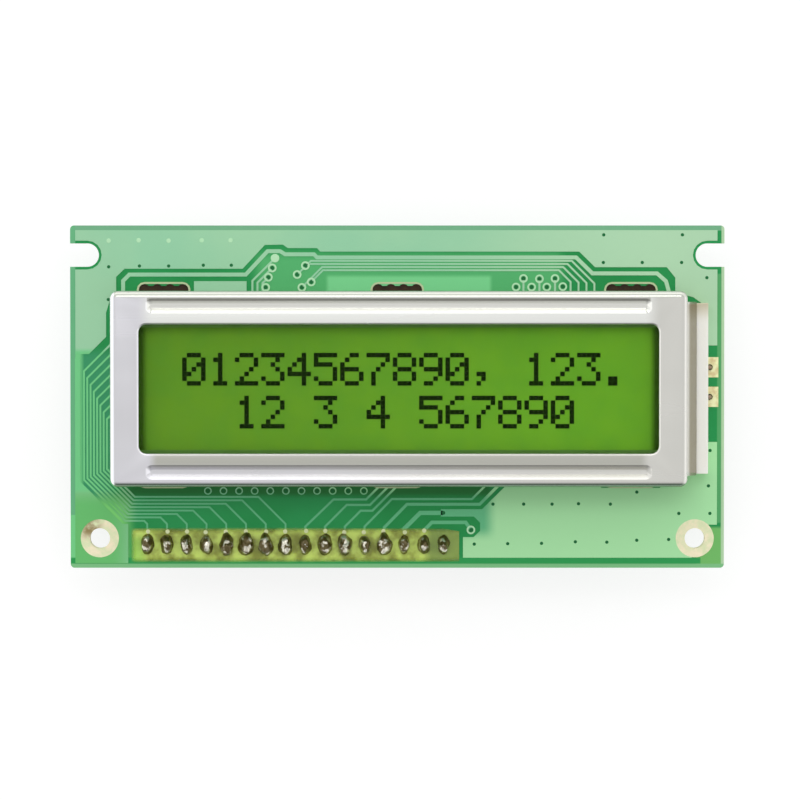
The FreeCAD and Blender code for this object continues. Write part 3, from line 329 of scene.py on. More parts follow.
def link(name, mesh, finish, smooth=False):
    """A finished mesh as a piece of the object, riding on its one body."""
    piece = put_in_scene(name, mesh)
    dress(piece, finish)
    for face in mesh.polygons:
        face.use_smooth = smooth
    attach(piece, "root")
    return piece


def sealed(work):
    """Merge the seams of a filled or spun shape and turn its faces outwards."""
    bmesh.ops.remove_doubles(work, verts=work.verts, dist=0.001 * mm)
    bmesh.ops.recalc_face_normals(work, faces=work.faces)


def as_mesh(curve, low, high):
    """A flat curve made a mesh between two heights over the board, in millimetres."""
    stand_in = put_in_scene(curve.name, curve)
    bpy.context.view_layer.update()
    mesh = bpy.data.meshes.new_from_object(stand_in.evaluated_get(bpy.context.evaluated_depsgraph_get()))
    bpy.data.objects.remove(stand_in)
    mesh.transform(Matrix.Translation((0.0, 0.0, (low + high) / 2 * mm)))
    work = bmesh.new()
    work.from_mesh(mesh)
    sealed(work)
    work.to_mesh(mesh)
    work.free()
    return mesh


def new_curve(name, runs, closed):
    """A flat curve through lists of places in millimetres."""
    curve = bpy.data.curves.new(name, "CURVE")
    curve.dimensions = "2D"
    for run in runs:
        spline = curve.splines.new("POLY")
        spline.points.add(len(run) - 1)
        for point, (x, y) in zip(spline.points, run):
            point.co = (x * mm, y * mm, 0.0, 1.0)
        spline.use_cyclic_u = closed
    return curve


def copper_plane(name, outlines, low=0.0, high=foil):
    """Filled outlines with the foil's thickness. An outline inside another is a hole."""
    curve = new_curve(name, outlines, closed=True)
    curve.fill_mode = "BOTH"
    curve.extrude = (high - low) / 2 * mm
    return link(name, as_mesh(curve, low, high), covered)


def copper_tracks(name, runs, width, low=0.0, high=foil):
    """Tracks of one width along open runs."""
    curve = new_curve(name, runs, closed=False)
    profile = bpy.data.curves.new(name + "_profile", "CURVE")
    profile.dimensions = "2D"
    spline = profile.splines.new("POLY")
    spline.points.add(3)
    half_width = width / 2 * mm
    half_height = (high - low) / 2 * mm
    for point, (x, y) in zip(spline.points, ((-1, -1), (1, -1), (1, 1), (-1, 1))):
        point.co = (x * half_width, y * half_height, 0.0, 1.0)
    spline.use_cyclic_u = True
    section = put_in_scene(name + "_profile", profile)
    curve.bevel_mode = "OBJECT"
    curve.bevel_object = section
    curve.use_fill_caps = True
    mesh = as_mesh(curve, low, high)
    bpy.data.objects.remove(section)
    return link(name, mesh, covered)


def arc(x, y, radius, start, step, count):
    """Places round a centre, from a start by equal steps in degrees."""
    turns = [math.radians(start + step * number) for number in range(count)]
    return [(x + radius * math.cos(turn), y + radius * math.sin(turn)) for turn in turns]


# The upper plane: round both corner slots and down both sides, open below round the tracks.
corner_slot_x, corner_slot_y = 39.8, 36.4
slot_ring = 1.85
hole_x = 38.25
hole_ring = 2.0
left_slot = arc(-corner_slot_x, corner_slot_y, slot_ring, 90, -22.5, 9)
right_slot = arc(corner_slot_x, corner_slot_y, slot_ring, 270, -22.5, 9)
upper_edge = [(-41.35, 39.6), (-41.35, 38.25), *left_slot, (-41.35, 34.55), (-41.35, 23.7), (-39.6, 23.7),
              (-37.4, 25.9), (-37.4, 29.0), (-36.6, 31.6), (-36.1, 31.6), (-36.1, 33.6), (-35.0, 34.65),
              (-19.85, 34.65), (-17.0, 37.7), (-14.7, 37.75), (-14.05, 37.3), (-10.3, 37.3), (-9.9, 36.85),
              (23.35, 36.85), (25.4, 34.85), (34.6, 34.85), (35.7, 33.5), (35.7, 31.6), (38.0, 31.0),
              (39.95, 29.6), (39.95, 24.8), (41.1, 24.8), (41.1, 34.55), *right_slot, (41.1, 38.25),
              (41.1, 39.6)]
copper_plane("upper_plane", [upper_edge])

# The lower right plane, from the last header pins to the right-hand hole and up beside the backlight.
past_hole = arc(hole_x, 0.0, hole_ring, 48, 12, 18)
lower_edge = [(8.45, -2.5), (8.45, 0.15), (9.8, 0.15), (10.65, 0.95), (10.65, 2.0), (9.85, 2.8), (5.6, 2.8),
              (5.6, 3.75), (10.9, 3.75), (14.3, 7.1), (26.2, 7.1), (26.2, 6.5), (33.8, 6.5), (33.8, 7.1),
              (36.6, 8.6), (39.95, 8.6), (39.95, 12.4), (41.1, 12.4), (41.1, 1.75), (39.9, 1.75), *past_hole,
              (37.9, -2.5)]
copper_plane("lower_plane", [lower_edge])

# The left margin and the land round the left-hand hole, cut back from the bundle of header tracks.
margin_edge = [(-41.4, -3.2), (-41.4, 23.1), (-40.75, 23.1), (-40.75, 7.3), (-35.3, 1.85), (-34.6, 1.85),
               (-34.6, -3.2)]
left_hole = arc(-hole_x, 0.0, hole_ring, 0, 18, 20)
copper_plane("left_margin", [margin_edge, left_hole])
copper_plane("link_pad", [[(-26.1, 33.05), (-19.35, 33.05), (-19.35, 31.6), (-26.1, 31.6)]])

# The long track that follows the upper plane's lower edge from one side of the glass to the other.
perimeter = [(-35.2, 31.6), (-35.2, 33.1), (-34.4, 33.9), (-19.45, 33.9), (-16.65, 36.9), (-15.05, 36.9),
             (-14.4, 36.5), (-10.7, 36.5), (-10.3, 36.1), (22.95, 36.1), (25.05, 34.05), (33.35, 34.05),
             (34.5, 33.05), (34.9, 31.6)]
copper_tracks("perimeter_track", [perimeter], 0.5)

# Row tracks to the glass's upper ledge: four run side by side and fan down at the right.
row_tracks = []
for number, start in enumerate(((-11.05, 32.95), (-12.25, 32.25), (-11.8, 35.05), (-12.85, 33.9))):
    level = 34.46 + 0.4 * number
    turn_x = 20.75 + 0.55 * number
    drop_x = 22.25 + 1.02 * number
    drop_y = level - (drop_x - turn_x)
    entry = (start[0] + abs(level - start[1]), level)
    row_tracks.append([start, entry, (turn_x, level), (drop_x, drop_y), (drop_x, 31.6)])
copper_tracks("row_tracks", row_tracks, 0.24)
fan_tracks = [[(-15.7, 36.0), (-18.6, 33.1), (-18.6, 31.6)],
              [(-16.05, 34.75), (-17.95, 32.85), (-17.95, 31.6)],
              [(-16.55, 33.55), (-17.3, 32.8), (-17.3, 31.6)], [(-16.9, 32.25), (-16.9, 31.6)],
              [(16.2, 33.4), (16.2, 31.6)], [(18.25, 33.35), (18.25, 31.6)], [(20.25, 33.4), (20.25, 31.6)]]
copper_tracks("fan_tracks", fan_tracks, 0.26)

# Header tracks: the first eight bend left into a bundle that climbs beside the bezel, the next four
# jog to the right under its lower edge, and the wide ones of the supply come last.
pin_pitch = 2.54
first_pin = -32.15
land_top = 0.4
bundle_bend = 1.85
bezel_side = -36.6


def pin_x(number):
    """A pin's place along the row, in millimetres."""
    return first_pin + pin_pitch * number


def from_pin(number, straight, *places):
    """A run that leaves a pin's land straight up as far as a height and then goes through the places."""
    return [(pin_x(number), land_top), (pin_x(number), straight), *places]


bundle = []
for number in range(8):
    level = 2.25 + 0.44 * number
    corner = -35.0 + 0.18 * number
    climb = -40.25 + 0.42 * number
    leave = 21.5 - 0.88 * number
    bent = pin_x(number) - (level - bundle_bend)
    bundle.append(from_pin(number, bundle_bend, (bent, level), (corner, level),
                           (climb, level + corner - climb), (climb, leave),
                           (bezel_side, leave + bezel_side - climb)))
copper_tracks("header_bundle", bundle, 0.24)
jogs = [from_pin(8, 1.5, (-8.2, 5.0), (-4.0, 5.0), (-2.3, 6.7)),
        from_pin(9, 1.5, (-6.5, 4.3), (-3.5, 4.3), (-1.1, 6.7)),
        from_pin(10, 1.5, (-4.7, 3.55), (-3.2, 3.55), (-0.05, 6.7)),
        from_pin(11, 1.5, (-0.7, 5.05), (9.6, 5.05), (11.3, 6.75))]
copper_tracks("header_jogs", jogs, 0.28)
copper_tracks("contrast_track", [from_pin(12, 1.4, (1.25, 4.38), (10.6, 4.38), (12.9, 6.7))], 0.38)
copper_tracks("ground_track", [from_pin(13, 1.2, (2.95, 3.27), (5.9, 3.27))], 0.55)
copper_tracks("lamp_track", [from_pin(14, 1.0, (4.45, 2.05), (8.8, 2.05), (9.45, 1.1))], 0.45)


# Vias: drilled and plated holes that tie front and back copper. Most are open rings, and rows of smaller
# ones stitch the planes together, some of them filled with mask. The holes are not cut: each open one has
# a dark disc that is painted shade for its bore.
bore_painted_shade = Finish("via_bore_painted_shade", roughness=0.5, shine=0.2)
bore_painted_shade.mottle(1200.0, tone(12, 96, 48), tone(28, 116, 62))
ring_pale = Finish("via_ring", roughness=0.35, shine=0.3)
ring_pale.mottle(800.0, tone(168, 226, 176), tone(198, 236, 196))


def rings(name, places, outer, inner, high, finish, low=0.0):
    """Flat rings on the board's face, each one a small section spun about its own hole."""
    work = bmesh.new()
    for x, y in places:
        section = [work.verts.new(((x + reach) * mm, y * mm, level * mm))
                   for reach, level in ((inner, low), (outer, low), (outer, high), (inner, high))]
        sides = [work.edges.new(pair) for pair in zip(section, section[1:] + section[:1])]
        bmesh.ops.spin(work, geom=section + sides, axis=(0, 0, 1), cent=(x * mm, y * mm, 0.0),
                       angle=2 * math.pi, steps=16, use_merge=True)
    sealed(work)
    return link(name, finished(work, name), finish)


def dots_on_board(name, places, radius, high, finish, low=0.0):
    """Low round pads, or dark discs that are painted shade in the mouths of small holes, all in one mesh."""
    work = bmesh.new()
    for x, y in places:
        bmesh.ops.create_cone(work, cap_ends=True, segments=14, radius1=radius * mm,
                              radius2=radius * 0.9 * mm, depth=(high - low) * mm,
                              matrix=Matrix.Translation((x * mm, y * mm, (low + high) / 2 * mm)))
    return link(name, finished(work, name), finish)


ring_places = [(-16.05, 34.75), (-16.55, 33.55), (-16.9, 32.25), (-11.8, 35.05), (-12.85, 33.9),
               (-11.05, 32.95), (-12.25, 32.25), (16.2, 33.4), (18.25, 33.35), (20.25, 33.4), (15.25, 32.3),
               (17.25, 32.3), (19.2, 32.3), (21.25, 32.35), (9.47, 1.08)]
rings("open_vias", ring_places, 0.56, 0.34, 0.05, ring_pale)
dots_on_board("via_bores", [*ring_places, (5.95, 3.27)], 0.25, 0.052, bore_painted_shade)
edge_places = [(-24.35 + 2.005 * number, 6.1) for number in range(11)]
rings("edge_vias", edge_places, 0.5, 0.34, 0.045, covered)
dots_on_board("edge_bores", edge_places, 0.2, 0.03, bore_painted_shade)
stitches = [(-37.05, 34.9), (-33.1, 35.0), (-29.35, 35.0), (-24.9, 35.1), (-21.3, 35.1), (-37.1, 30.7),
            (26.5, 39.0), (36.6, 39.0), (26.45, 35.45), (31.45, 35.45), (36.5, 35.45), (39.75, 33.5),
            (40.2, 11.3), (40.0, 6.75), (40.2, 3.2), (36.2, 3.2), (30.8, 5.95), (12.3, 4.4), (16.25, 4.4),
            (19.9, 4.4), (23.3, 4.45), (27.4, 4.4), (9.9, -0.75), (14.2, -0.7), (18.55, -0.65),
            (22.9, -0.45), (26.95, -0.5), (30.8, -0.25), (34.9, -0.15)]
dots_on_board("stitching_vias", stitches, 0.23, foil + 0.01, bore_painted_shade, low=foil - 0.01)
filled = [(-37.05, 38.25), (-33.2, 38.3), (-29.35, 38.25), (-25.1, 38.3), (-21.4, 38.3)]
dots_on_board("filled_vias", filled, 0.3, foil + 0.015, ring_pale, low=foil - 0.01)
dots_on_board("closed_via", [(-15.7, 36.0)], 0.56, 0.05, ring_pale)


# Tinned lands: copper left free of mask and dipped in solder. The rings round the mounting holes
# carry a rough coat, browned at the left one, and the two backlight pads are pale and flat.
ring_tin = Finish("tinned_ring", roughness=0.5, metallic=0.25)
coat_grain = ring_tin.speckle(700.0, detail=4.0, rough=0.6)
coat = ring_tin.between(ring_tin.span(coat_grain, 0.35, 0.65), tone(226, 234, 188), tone(252, 240, 206))
browned = ring_tin.span(coat_grain, 0.3, 0.6)
ring_tints = {"left ring": ((-40.6, 0.2, -38.2, 2.6, 0.8), tone(150, 132, 84))}
ring_tin.colour(ring_tin.tinted(coat, ring_tints, browned))
ring_tin.bumps(coat_grain, 0.00006)
dress(nodes["mounting_hole_lands"], ring_tin)

pad_tin = Finish("tinned_pad", roughness=0.45, metallic=0.1)
pad_shade = pad_tin.span(pad_tin.speckle(1100.0), 0.35, 0.7)
pad_tin.colour(pad_tin.between(pad_shade, tone(253, 252, 198), tone(226, 206, 150)))
pad_tin.bumps(pad_tin.speckle(1500.0), 0.00002)
dress(nodes["backlight_lands"], pad_tin)

slot_tin = Finish("tinned_slot_ring", roughness=0.45, metallic=0.2)
slot_tin.mottle(900.0, tone(176, 198, 148), tone(196, 206, 166))
slot_tin.bumps(slot_tin.speckle(1300.0), 0.00002)
dress(nodes["tab_slot_lands"], slot_tin)
dress(nodes["header_lands"], slot_tin)

# Dark brown fill in the tab slots: painted shade standing in for the dark inside them. It reaches the
# slots' sides and sits a little under the board's face.
slot_shade_fill = Finish("slot_painted_shade", roughness=0.3, shine=0.2)
slot_shade_fill.mottle(900.0, tone(20, 14, 6), tone(78, 54, 28), detail=3.0)
slot_shade_fill.bumps(slot_shade_fill.speckle(1100.0), 0.0001)
wall_offset = 12.25
slot_shift = 0.35
bezel_low, bezel_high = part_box("bezel")
bezel_y = (bezel_low.y + bezel_high.y) / 2 / mm
plug_middle = -0.75
plug_shape = Matrix.Diagonal((6.7 * mm, 1.6 * mm, 0.8 * mm, 1.0))
plug_corner = 0.6
plugs = bmesh.new()
for slot_x in (-29.8, 0.2, 30.2):
    for side in (-1, 1):
        where = Vector((slot_x, bezel_y + side * wall_offset + slot_shift, plug_middle)) * mm
        made = bmesh.ops.create_cube(plugs, size=1.0, matrix=Matrix.Translation(where) @ plug_shape)
        uprights = [edge for edge in {edge for vert in made["verts"] for edge in vert.link_edges}
                    if abs(edge.verts[0].co.z - edge.verts[1].co.z) > 0.1 * mm]
        bmesh.ops.bevel(plugs, geom=uprights, offset=plug_corner * mm, segments=4, profile=0.5,
                        affect="EDGES", material=-1)
link("slot_painted_shade", finished(plugs, "slot_painted_shade"), slot_shade_fill)


# Pin header: sixteen square tinned pins pressed through a black moulded strip behind the board. Their
# short ends come up through the lands, where the solder joints hold them.
moulding = Finish("black_moulding", roughness=0.42)
moulding.mottle(500.0, tone(22, 22, 24), tone(36, 36, 38))
moulding.bumps(moulding.speckle(4000.0, detail=1.0), 0.00001)
dress(nodes["header_housing"], moulding)
pin_metal = Finish("pin_metal", roughness=0.34, metallic=1.0)
pin_metal.mottle(900.0, tone(224, 222, 214), tone(244, 243, 238), stretch=(1.0, 1.0, 0.15))
dress(nodes["header_pins"], pin_metal)

# Solder joints: hand-made, uneven and dull, with burnt flux in their skirts, which are also painted darker
# low down as shade. Near-white specks on the metal are painted glints. Each one climbs its pin and closes
# over the end. No two are alike, so each is spun, pulled about and set on its land.
joint_top = 1.5
joint_foot = (0.96, 1.5)
joint_y = -0.8
joint_base = 0.05
joint_outline = [(1.0, 0.0), (0.97, 0.12), (0.86, 0.34), (0.76, 0.58), (0.62, 0.82), (0.4, 0.96),
                 (0.16, 1.0), (0.0, 1.0)]
random.seed(16)
joints = bmesh.new()
for number in range(16):
    one = bmesh.new()
    reach = random.uniform(0.8, 1.02)
    tall = random.uniform(0.7, 1.0)
    lean = random.uniform(-0.2, 0.2)
    corners = [one.verts.new((share * mm, 0.0, rise * joint_top * tall * mm))
               for share, rise in joint_outline]
    edges = [one.edges.new(pair) for pair in zip(corners, corners[1:])]
    bmesh.ops.spin(one, geom=corners + edges, axis=(0, 0, 1), cent=(0, 0, 0), angle=2 * math.pi, steps=28,
                   use_merge=True)
    bmesh.ops.remove_doubles(one, verts=one.verts, dist=0.001 * mm)
    rims = [edge for edge in one.edges if edge.is_boundary]
    bmesh.ops.holes_fill(one, edges=rims, sides=0)
    bmesh.ops.scale(one, verts=one.verts, vec=(joint_foot[0] * reach, joint_foot[1] * reach, 1.0))
    for vert in one.verts:
        lift = vert.co.z / (joint_top * mm)
        pull = noise.noise(vert.co * 900 + Vector((number * 7.3, 0.0, 0.0)))
        fine = noise.noise(vert.co * 2600 + Vector((0.0, number * 5.1, 0.0)))
        vert.co.x *= 1 + 0.3 * pull + 0.1 * fine
        vert.co.y *= 1 + 0.2 * pull + 0.08 * fine
        vert.co.x += lean * lift * mm
        vert.co.y -= 0.12 * lift * mm
        vert.co.z = max(vert.co.z * (1 + 0.25 * fine + 0.15 * pull), 0.0)
    bmesh.ops.translate(one, verts=one.verts, vec=(pin_x(number) * mm, joint_y * mm, joint_base * mm))
    bmesh.ops.recalc_face_normals(one, faces=one.faces)
    part = finished(one, "joint")
    joints.from_mesh(part)
    bpy.data.meshes.remove(part)
solder = Finish("solder_painted_glints_and_shade", roughness=0.3, metallic=0.6)
patches = solder.speckle(1100.0, detail=3.0)
low_down = solder.span(solder.axis("Z"), 0.0002, 0.0013)
# Painted shade darkens the skirts low down, and the near-white tone in the metal mix is a painted glint.
skirt_flux_and_painted_shade = solder.between(solder.span(patches, 0.35, 0.6), tone(70, 58, 14), tone(120, 108, 44))
solder_and_painted_glints = solder.between(solder.span(patches, 0.5, 0.58), tone(92, 80, 40), tone(236, 232, 214))
solder.colour(solder.between(low_down, skirt_flux_and_painted_shade, solder_and_painted_glints))
solder.rough(solder.span(patches, 0.3, 0.7, 0.42, 0.16))
solder.bumps(solder.speckle(2200.0, detail=2.0), 0.00005)
solder.shader.inputs["Coat Weight"].default_value = 0.4
joints_piece = link("solder_joints", finished(joints, "solder_joints"), solder, smooth=True)
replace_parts(joints_piece, "header_solder")

# Flux: a film of yellow resin that the hand soldering left along the row, with a hard right-hand end.
flux = Finish("flux_film", roughness=0.25)
run_marks = flux.speckle(420.0, detail=3.0)
resin = flux.between(flux.span(run_marks, 0.35, 0.65), tone(146, 156, 40), tone(210, 236, 104))
flux_tints = {"first pin": ((-36.0, -4.0, -32.6, 0.2, 0.8), tone(178, 232, 94)),
              "last pins": ((3.8, -4.0, 9.0, 2.0, 0.8), tone(140, 168, 66))}
flux.colour(flux.tinted(resin, flux_tints))
flux.shader.inputs["Coat Weight"].default_value = 0.5
cover = flux.product(flux.patch(-33.9, -2.75, 9.0, 1.0, 0.45), flux.span(run_marks, 0.2, 0.6, 0.72, 0.95))
veil = flux.new("MixShader", cover, flux.new("BsdfTransparent")["BSDF"], flux.shader.outputs["BSDF"])
flux.join(veil["Shader"], flux.output.inputs["Surface"])
film_low, film_high = 0.052, 0.064
film_edge = [(-34.8, -3.2), (7.95, -3.0), (7.95, 0.9), (6.0, 1.25), (-20.0, 1.4), (-34.8, 1.3)]
film_curve = new_curve("flux_film", [film_edge], closed=True)
film_curve.fill_mode = "BOTH"
film_curve.extrude = (film_high - film_low) / 2 * mm
link("flux_film", as_mesh(film_curve, film_low, film_high), flux)


# Track ends: the mask stops short where the tracks meet the pins, and solder has wetted the copper
# there in small tears, whose near-white brightness is a painted glint.
wetted_tin_and_glint = Finish("wetted_copper_painted_glint", roughness=0.25, shine=0.6)
wetted_tin_and_glint.mottle(1500.0, tone(196, 214, 138), tone(240, 240, 200))
tears = [(pin_x(number) + random.uniform(-0.12, 0.12), random.uniform(0.75, 1.0)) for number in range(15)]
dots_on_board("wetted_track_ends", tears, 0.3, 0.085, wetted_tin_and_glint, low=0.01)


# Backlight leads and their joints: tinned wire that comes out of the cream end, is bent down through
# the pads and is soldered behind the board.
lead_metal = Finish("lead_wire", roughness=0.35, metallic=0.9)
lead_metal.mottle(900.0, tone(120, 92, 70), tone(168, 150, 128))
dress(nodes["backlight_leads"], lead_metal)
joint_metal = Finish("rear_solder", roughness=0.3, metallic=1.0)
joint_metal.mottle(1200.0, tone(164, 164, 158), tone(206, 206, 200))
joint_metal.bumps(joint_metal.speckle(2000.0), 0.00003)
dress(nodes["backlight_lead_solder"], joint_metal)


# Backlight: a cream moulding whose wide end stands out past the bezel, its edges eased by the mould.
# Inside it lie two white films, a clear light guide, and the lamps on a small board of their own.
cream = Finish("cream_plastic", roughness=0.45)
creamy = cream.between(cream.speckle(150.0), tone(255, 255, 249), tone(254, 252, 240))
# Towards its top end the cream turns greyer.
greyer_top_end = cream.span(cream.axis("Y"), 0.0275, 0.0305)
cream.colour(cream.between(greyer_top_end, creamy, tone(206, 198, 168)))
cream.shader.inputs["Subsurface Weight"].default_value = 0.05
cream.shader.inputs["Subsurface Radius"].default_value = (0.001, 0.0009, 0.0006)
cream.bumps(cream.speckle(1800.0, detail=1.0), 0.00001)


def merged_copy(node, name):
    """A copy of a CAD node's mesh, and a bmesh of it with its loose triangles joined."""
    mesh = nodes[node].data.copy()
    mesh.name = name
    work = bmesh.new()
    work.from_mesh(mesh)
    bmesh.ops.remove_doubles(work, verts=work.verts, dist=0.002 * mm)
    return mesh, work


def level_faces(work):
    """Join the triangles of each flat face."""
    bmesh.ops.dissolve_limit(work, angle_limit=math.radians(1.0), verts=work.verts, edges=work.edges)


def eased(work, width, segments, angle):
    """Round every edge that turns by more than an angle in degrees."""
    sharp = [edge for edge in work.edges if len(edge.link_faces) == 2
             and edge.calc_face_angle(0.0) > math.radians(angle)]
    bmesh.ops.bevel(work, geom=sharp, offset=width * mm, offset_type="OFFSET", segments=segments,
                    profile=0.5, affect="EDGES", clamp_overlap=True, material=-1)


edge_radius = 0.18
frame_mesh, body = merged_copy("backlight_frame", "backlight_moulding")
level_faces(body)
eased(body, edge_radius, 3, 30)
body.to_mesh(frame_mesh)
body.free()
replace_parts(link("backlight_moulding", frame_mesh, cream), "backlight_frame")

film = Finish("white_film", roughness=0.6)
film.mottle(300.0, tone(244, 244, 240), tone(236, 236, 230))
for name in ("reflector_film", "diffuser_film"):
    dress(nodes[name], film)
guide = Finish("clear_acrylic", roughness=0.1)
guide.mottle(200.0, tone(226, 234, 230), tone(236, 242, 238))
guide.shader.inputs["Coat Weight"].default_value = 0.3
dress(nodes["light_guide"], guide)
lamp_board = Finish("lamp_laminate", roughness=0.5)
lamp_board.mottle(600.0, tone(188, 178, 120), tone(204, 196, 140))
dress(nodes["led_board"], lamp_board)
lamp_resin = Finish("lamp_resin", roughness=0.2)
lamp_resin.mottle(500.0, tone(216, 226, 150), tone(232, 238, 176))
dress(nodes["led_lamps"], lamp_resin)


# Contact strips: silicone with fine carbon layers, squeezed between the board and the glass's ledges.
# Nothing is glued: the bezel presses the glass down on them.
zebra = Finish("zebra_elastomer", roughness=0.6)
stripes = zebra.nodes.new("ShaderNodeTexWave")
stripes.inputs["Scale"].default_value = 1500.0
stripes.inputs["Distortion"].default_value = 0.0
zebra.join(zebra.place, stripes.inputs["Vector"])
zebra.colour(zebra.between(stripes.outputs["Fac"], tone(28, 28, 30), tone(206, 196, 190)))
for name in ("zebra_strip_top", "zebra_strip_bottom"):
    dress(nodes[name], zebra)


# Display cell: two sheets of glass glued round their edge, with the liquid between them. The field is
# yellow-green, lighter towards the right as painted light, and its film shows a fine even grain. A darker
# band round its edges is the window rim's painted shadow, and a faint glow from it is painted light.
field = Finish("display_field", roughness=0.5, shine=0.0)
lighter_rightward = field.span(field.axis("X"), -0.034, 0.034)
grainy = field.speckle(260.0, detail=4.0)
grain_share = field.span(grainy, 0.3, 0.7)
left_green = field.between(grain_share, tone(91, 137, 44), tone(98, 140, 42))
right_green = field.between(grain_share, tone(97, 152, 44), tone(105, 158, 44))
greens_with_painted_light = field.between(lighter_rightward, left_green, right_green)
# Painted shadow of the window's rim: darker green round the field's edges.
unshaded_inside_rim = field.patch(-32.15, 10.6, 32.55, 30.0, 0.45)
greens_with_painted_light = field.between(unshaded_inside_rim, tone(58, 92, 24), greens_with_painted_light)
field.colour(greens_with_painted_light)
# Painted glow: the field gives off light, fading at its edges, though no lamp lights it from behind.
painted_glow_area = field.patch(-32.2, 8.0, 32.6, 26.8, 1.2)
field.join(field.between(painted_glow_area, tone(0, 0, 0), greens_with_painted_light), field.shader.inputs["Emission Color"])
field.shader.inputs["Emission Strength"].default_value = 0.31
dress(nodes["liquid_crystal"], field)
rear_sheet = Finish("rear_glass_face", roughness=0.15)
rear_sheet.mottle(100.0, tone(78, 118, 52), tone(84, 126, 56))
rear_sheet.shader.inputs["Coat Weight"].default_value = 0.3
for name in ("rear_glass", "rear_polarizer"):
    dress(nodes[name], rear_sheet)
glue = Finish("cell_glue", roughness=0.4)
glue.mottle(500.0, tone(84, 132, 50), tone(92, 142, 54))
dress(nodes["cell_seal"], glue)
plug = Finish("plug_glue", roughness=0.3)
plug.mottle(900.0, tone(204, 190, 130), tone(222, 210, 156))
dress(nodes["fill_port_plug"], plug)


def pane(name, first_tint, second_tint, shine, blur):
    """A clear sheet: light passes straight on with a slight tint, and its outer face has a faint shine."""
    finish = Finish(name, roughness=blur, metallic=1.0)
    tint = finish.between(finish.speckle(60.0), first_tint, second_tint)
    finish.colour(tint)
    edge_on = finish.new("Fresnel", shine)["Fac"]
    outer = reckon(finish.tree, "SUBTRACT", 1.0, finish.new("NewGeometry")["Backfacing"])
    light = finish.new("BsdfTransparent", tint)["BSDF"]
    joined = finish.new("MixShader", finish.product(edge_on, outer), light, finish.shader.outputs["BSDF"])
    finish.join(joined["Shader"], finish.output.inputs["Surface"])
    return finish


glass = pane("front_glass_clear", (0.97, 0.99, 0.95, 1.0), (0.98, 0.99, 0.97, 1.0), 1.001, 0.05)
top_film = pane("front_film_clear", (0.94, 0.97, 0.89, 1.0), (0.96, 0.98, 0.92, 1.0), 1.14, 0.1)
dress(nodes["front_glass"], glass)
dress(nodes["front_polarizer"], top_film)

# Characters: five by seven square dots that turn dark in the liquid. The two lines show plain numbers.
dot_pitch = 0.6
dot_side = 0.59
columns = 17
cell_pitch = 3.35
line_pitch = 5.46
grid_shift = 0.725
grid_drop = 0.25
dot_low = 4.792
dot_high = 4.806
figures = {"0": "01110 10001 10011 10101 11001 10001 01110", "1": "00100 01100 00100 00100 00100 00100 01110",
           "2": "01110 10001 00001 00010 00100 01000 11111", "3": "11111 00010 00100 00010 00001 10001 01110",
           "4": "00010 00110 01010 10010 11111 00010 00010", "5": "11111 10000 11110 00001 00001 10001 01110",
           "6": "00110 01000 10000 11110 10001 10001 01110", "7": "11111 00001 00010 00100 01000 01000 01000",
           "8": "01110 10001 10001 01110 10001 10001 01110", "9": "01110 10001 10001 01111 00001 00010 01100",
           ",": "00000 00000 00000 00000 01100 00100 01000", ".": "00000 00000 00000 00000 00000 01100 01100"}
display_low, display_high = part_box("liquid_crystal")
display_x = (display_low.x + display_high.x) / 2 / mm
display_y = (display_low.y + display_high.y) / 2 / mm
dot_middle = (dot_low + dot_high) / 2
dot_shape = Matrix.Diagonal((dot_side * mm, dot_side * mm, (dot_high - dot_low) * mm, 1.0))
dots = bmesh.new()
for text, level in (("01234567890, 123.", 1), ("  12 3 4 567890", -1)):
    row_y = display_y - grid_drop + level * line_pitch / 2 + 3 * dot_pitch
    first_x = display_x + grid_shift - (columns - 1) / 2 * cell_pitch - 2 * dot_pitch
    for place, letter in enumerate(text):
        for row, pattern in enumerate(figures.get(letter, "").split()):
            for column, lit in enumerate(pattern):
                if lit == "1":
                    x = first_x + place * cell_pitch + column * dot_pitch
                    where = Vector((x, row_y - row * dot_pitch, dot_middle)) * mm
                    bmesh.ops.create_cube(dots, size=1.0, matrix=Matrix.Translation(where) @ dot_shape)
ink = Finish("dark_dots", roughness=0.6, shine=0.0)
ink.mottle(700.0, tone(16, 30, 6), tone(24, 42, 10))
link("display_dots", finished(dots, "display_dots"), ink)


# Bezel: one sheet of tinned steel, blanked, folded and pressed. The press rounds every bend and the
# rims of the beads, and rolling leaves faint lines along its length.
steel = Finish("bezel_steel", roughness=0.27, metallic=1.0)
rolling = steel.speckle(260.0, stretch=(0.06, 1.0, 1.0), detail=3.0)
clouds = steel.speckle(45.0, detail=2.0)
tin_and_painted_light = steel.between(steel.span(clouds, 0.3, 0.7), tone(224, 223, 229), tone(218, 217, 221))
warmer = steel.span(steel.axis("X"), -0.03, 0.03)
tin_and_painted_light = steel.between(warmer, tin_and_painted_light, tone(217, 216, 210))
# Painted light on the tin: a painted highlight above the window and on the upper groove's floor, and painted
# shade on that groove's upper wall and below the window.
steel_painted_light = {"painted highlight above the window": ((-32.0, 27.0, 32.4, 33.0, 1.2), tone(241, 242, 238)),
               "painted shade on the groove's upper wall": ((-31.7, 30.45, 32.1, 30.95, 0.1), tone(186, 186, 178)),
               "painted sheen on the groove's floor": ((-31.7, 29.4, 32.1, 30.45, 0.15), tone(228, 228, 222)),
               "painted shade below the window": ((-31.0, 9.4, 31.4, 11.2, 0.7), tone(190, 190, 181))}
tin_and_painted_light = steel.tinted(tin_and_painted_light, steel_painted_light)
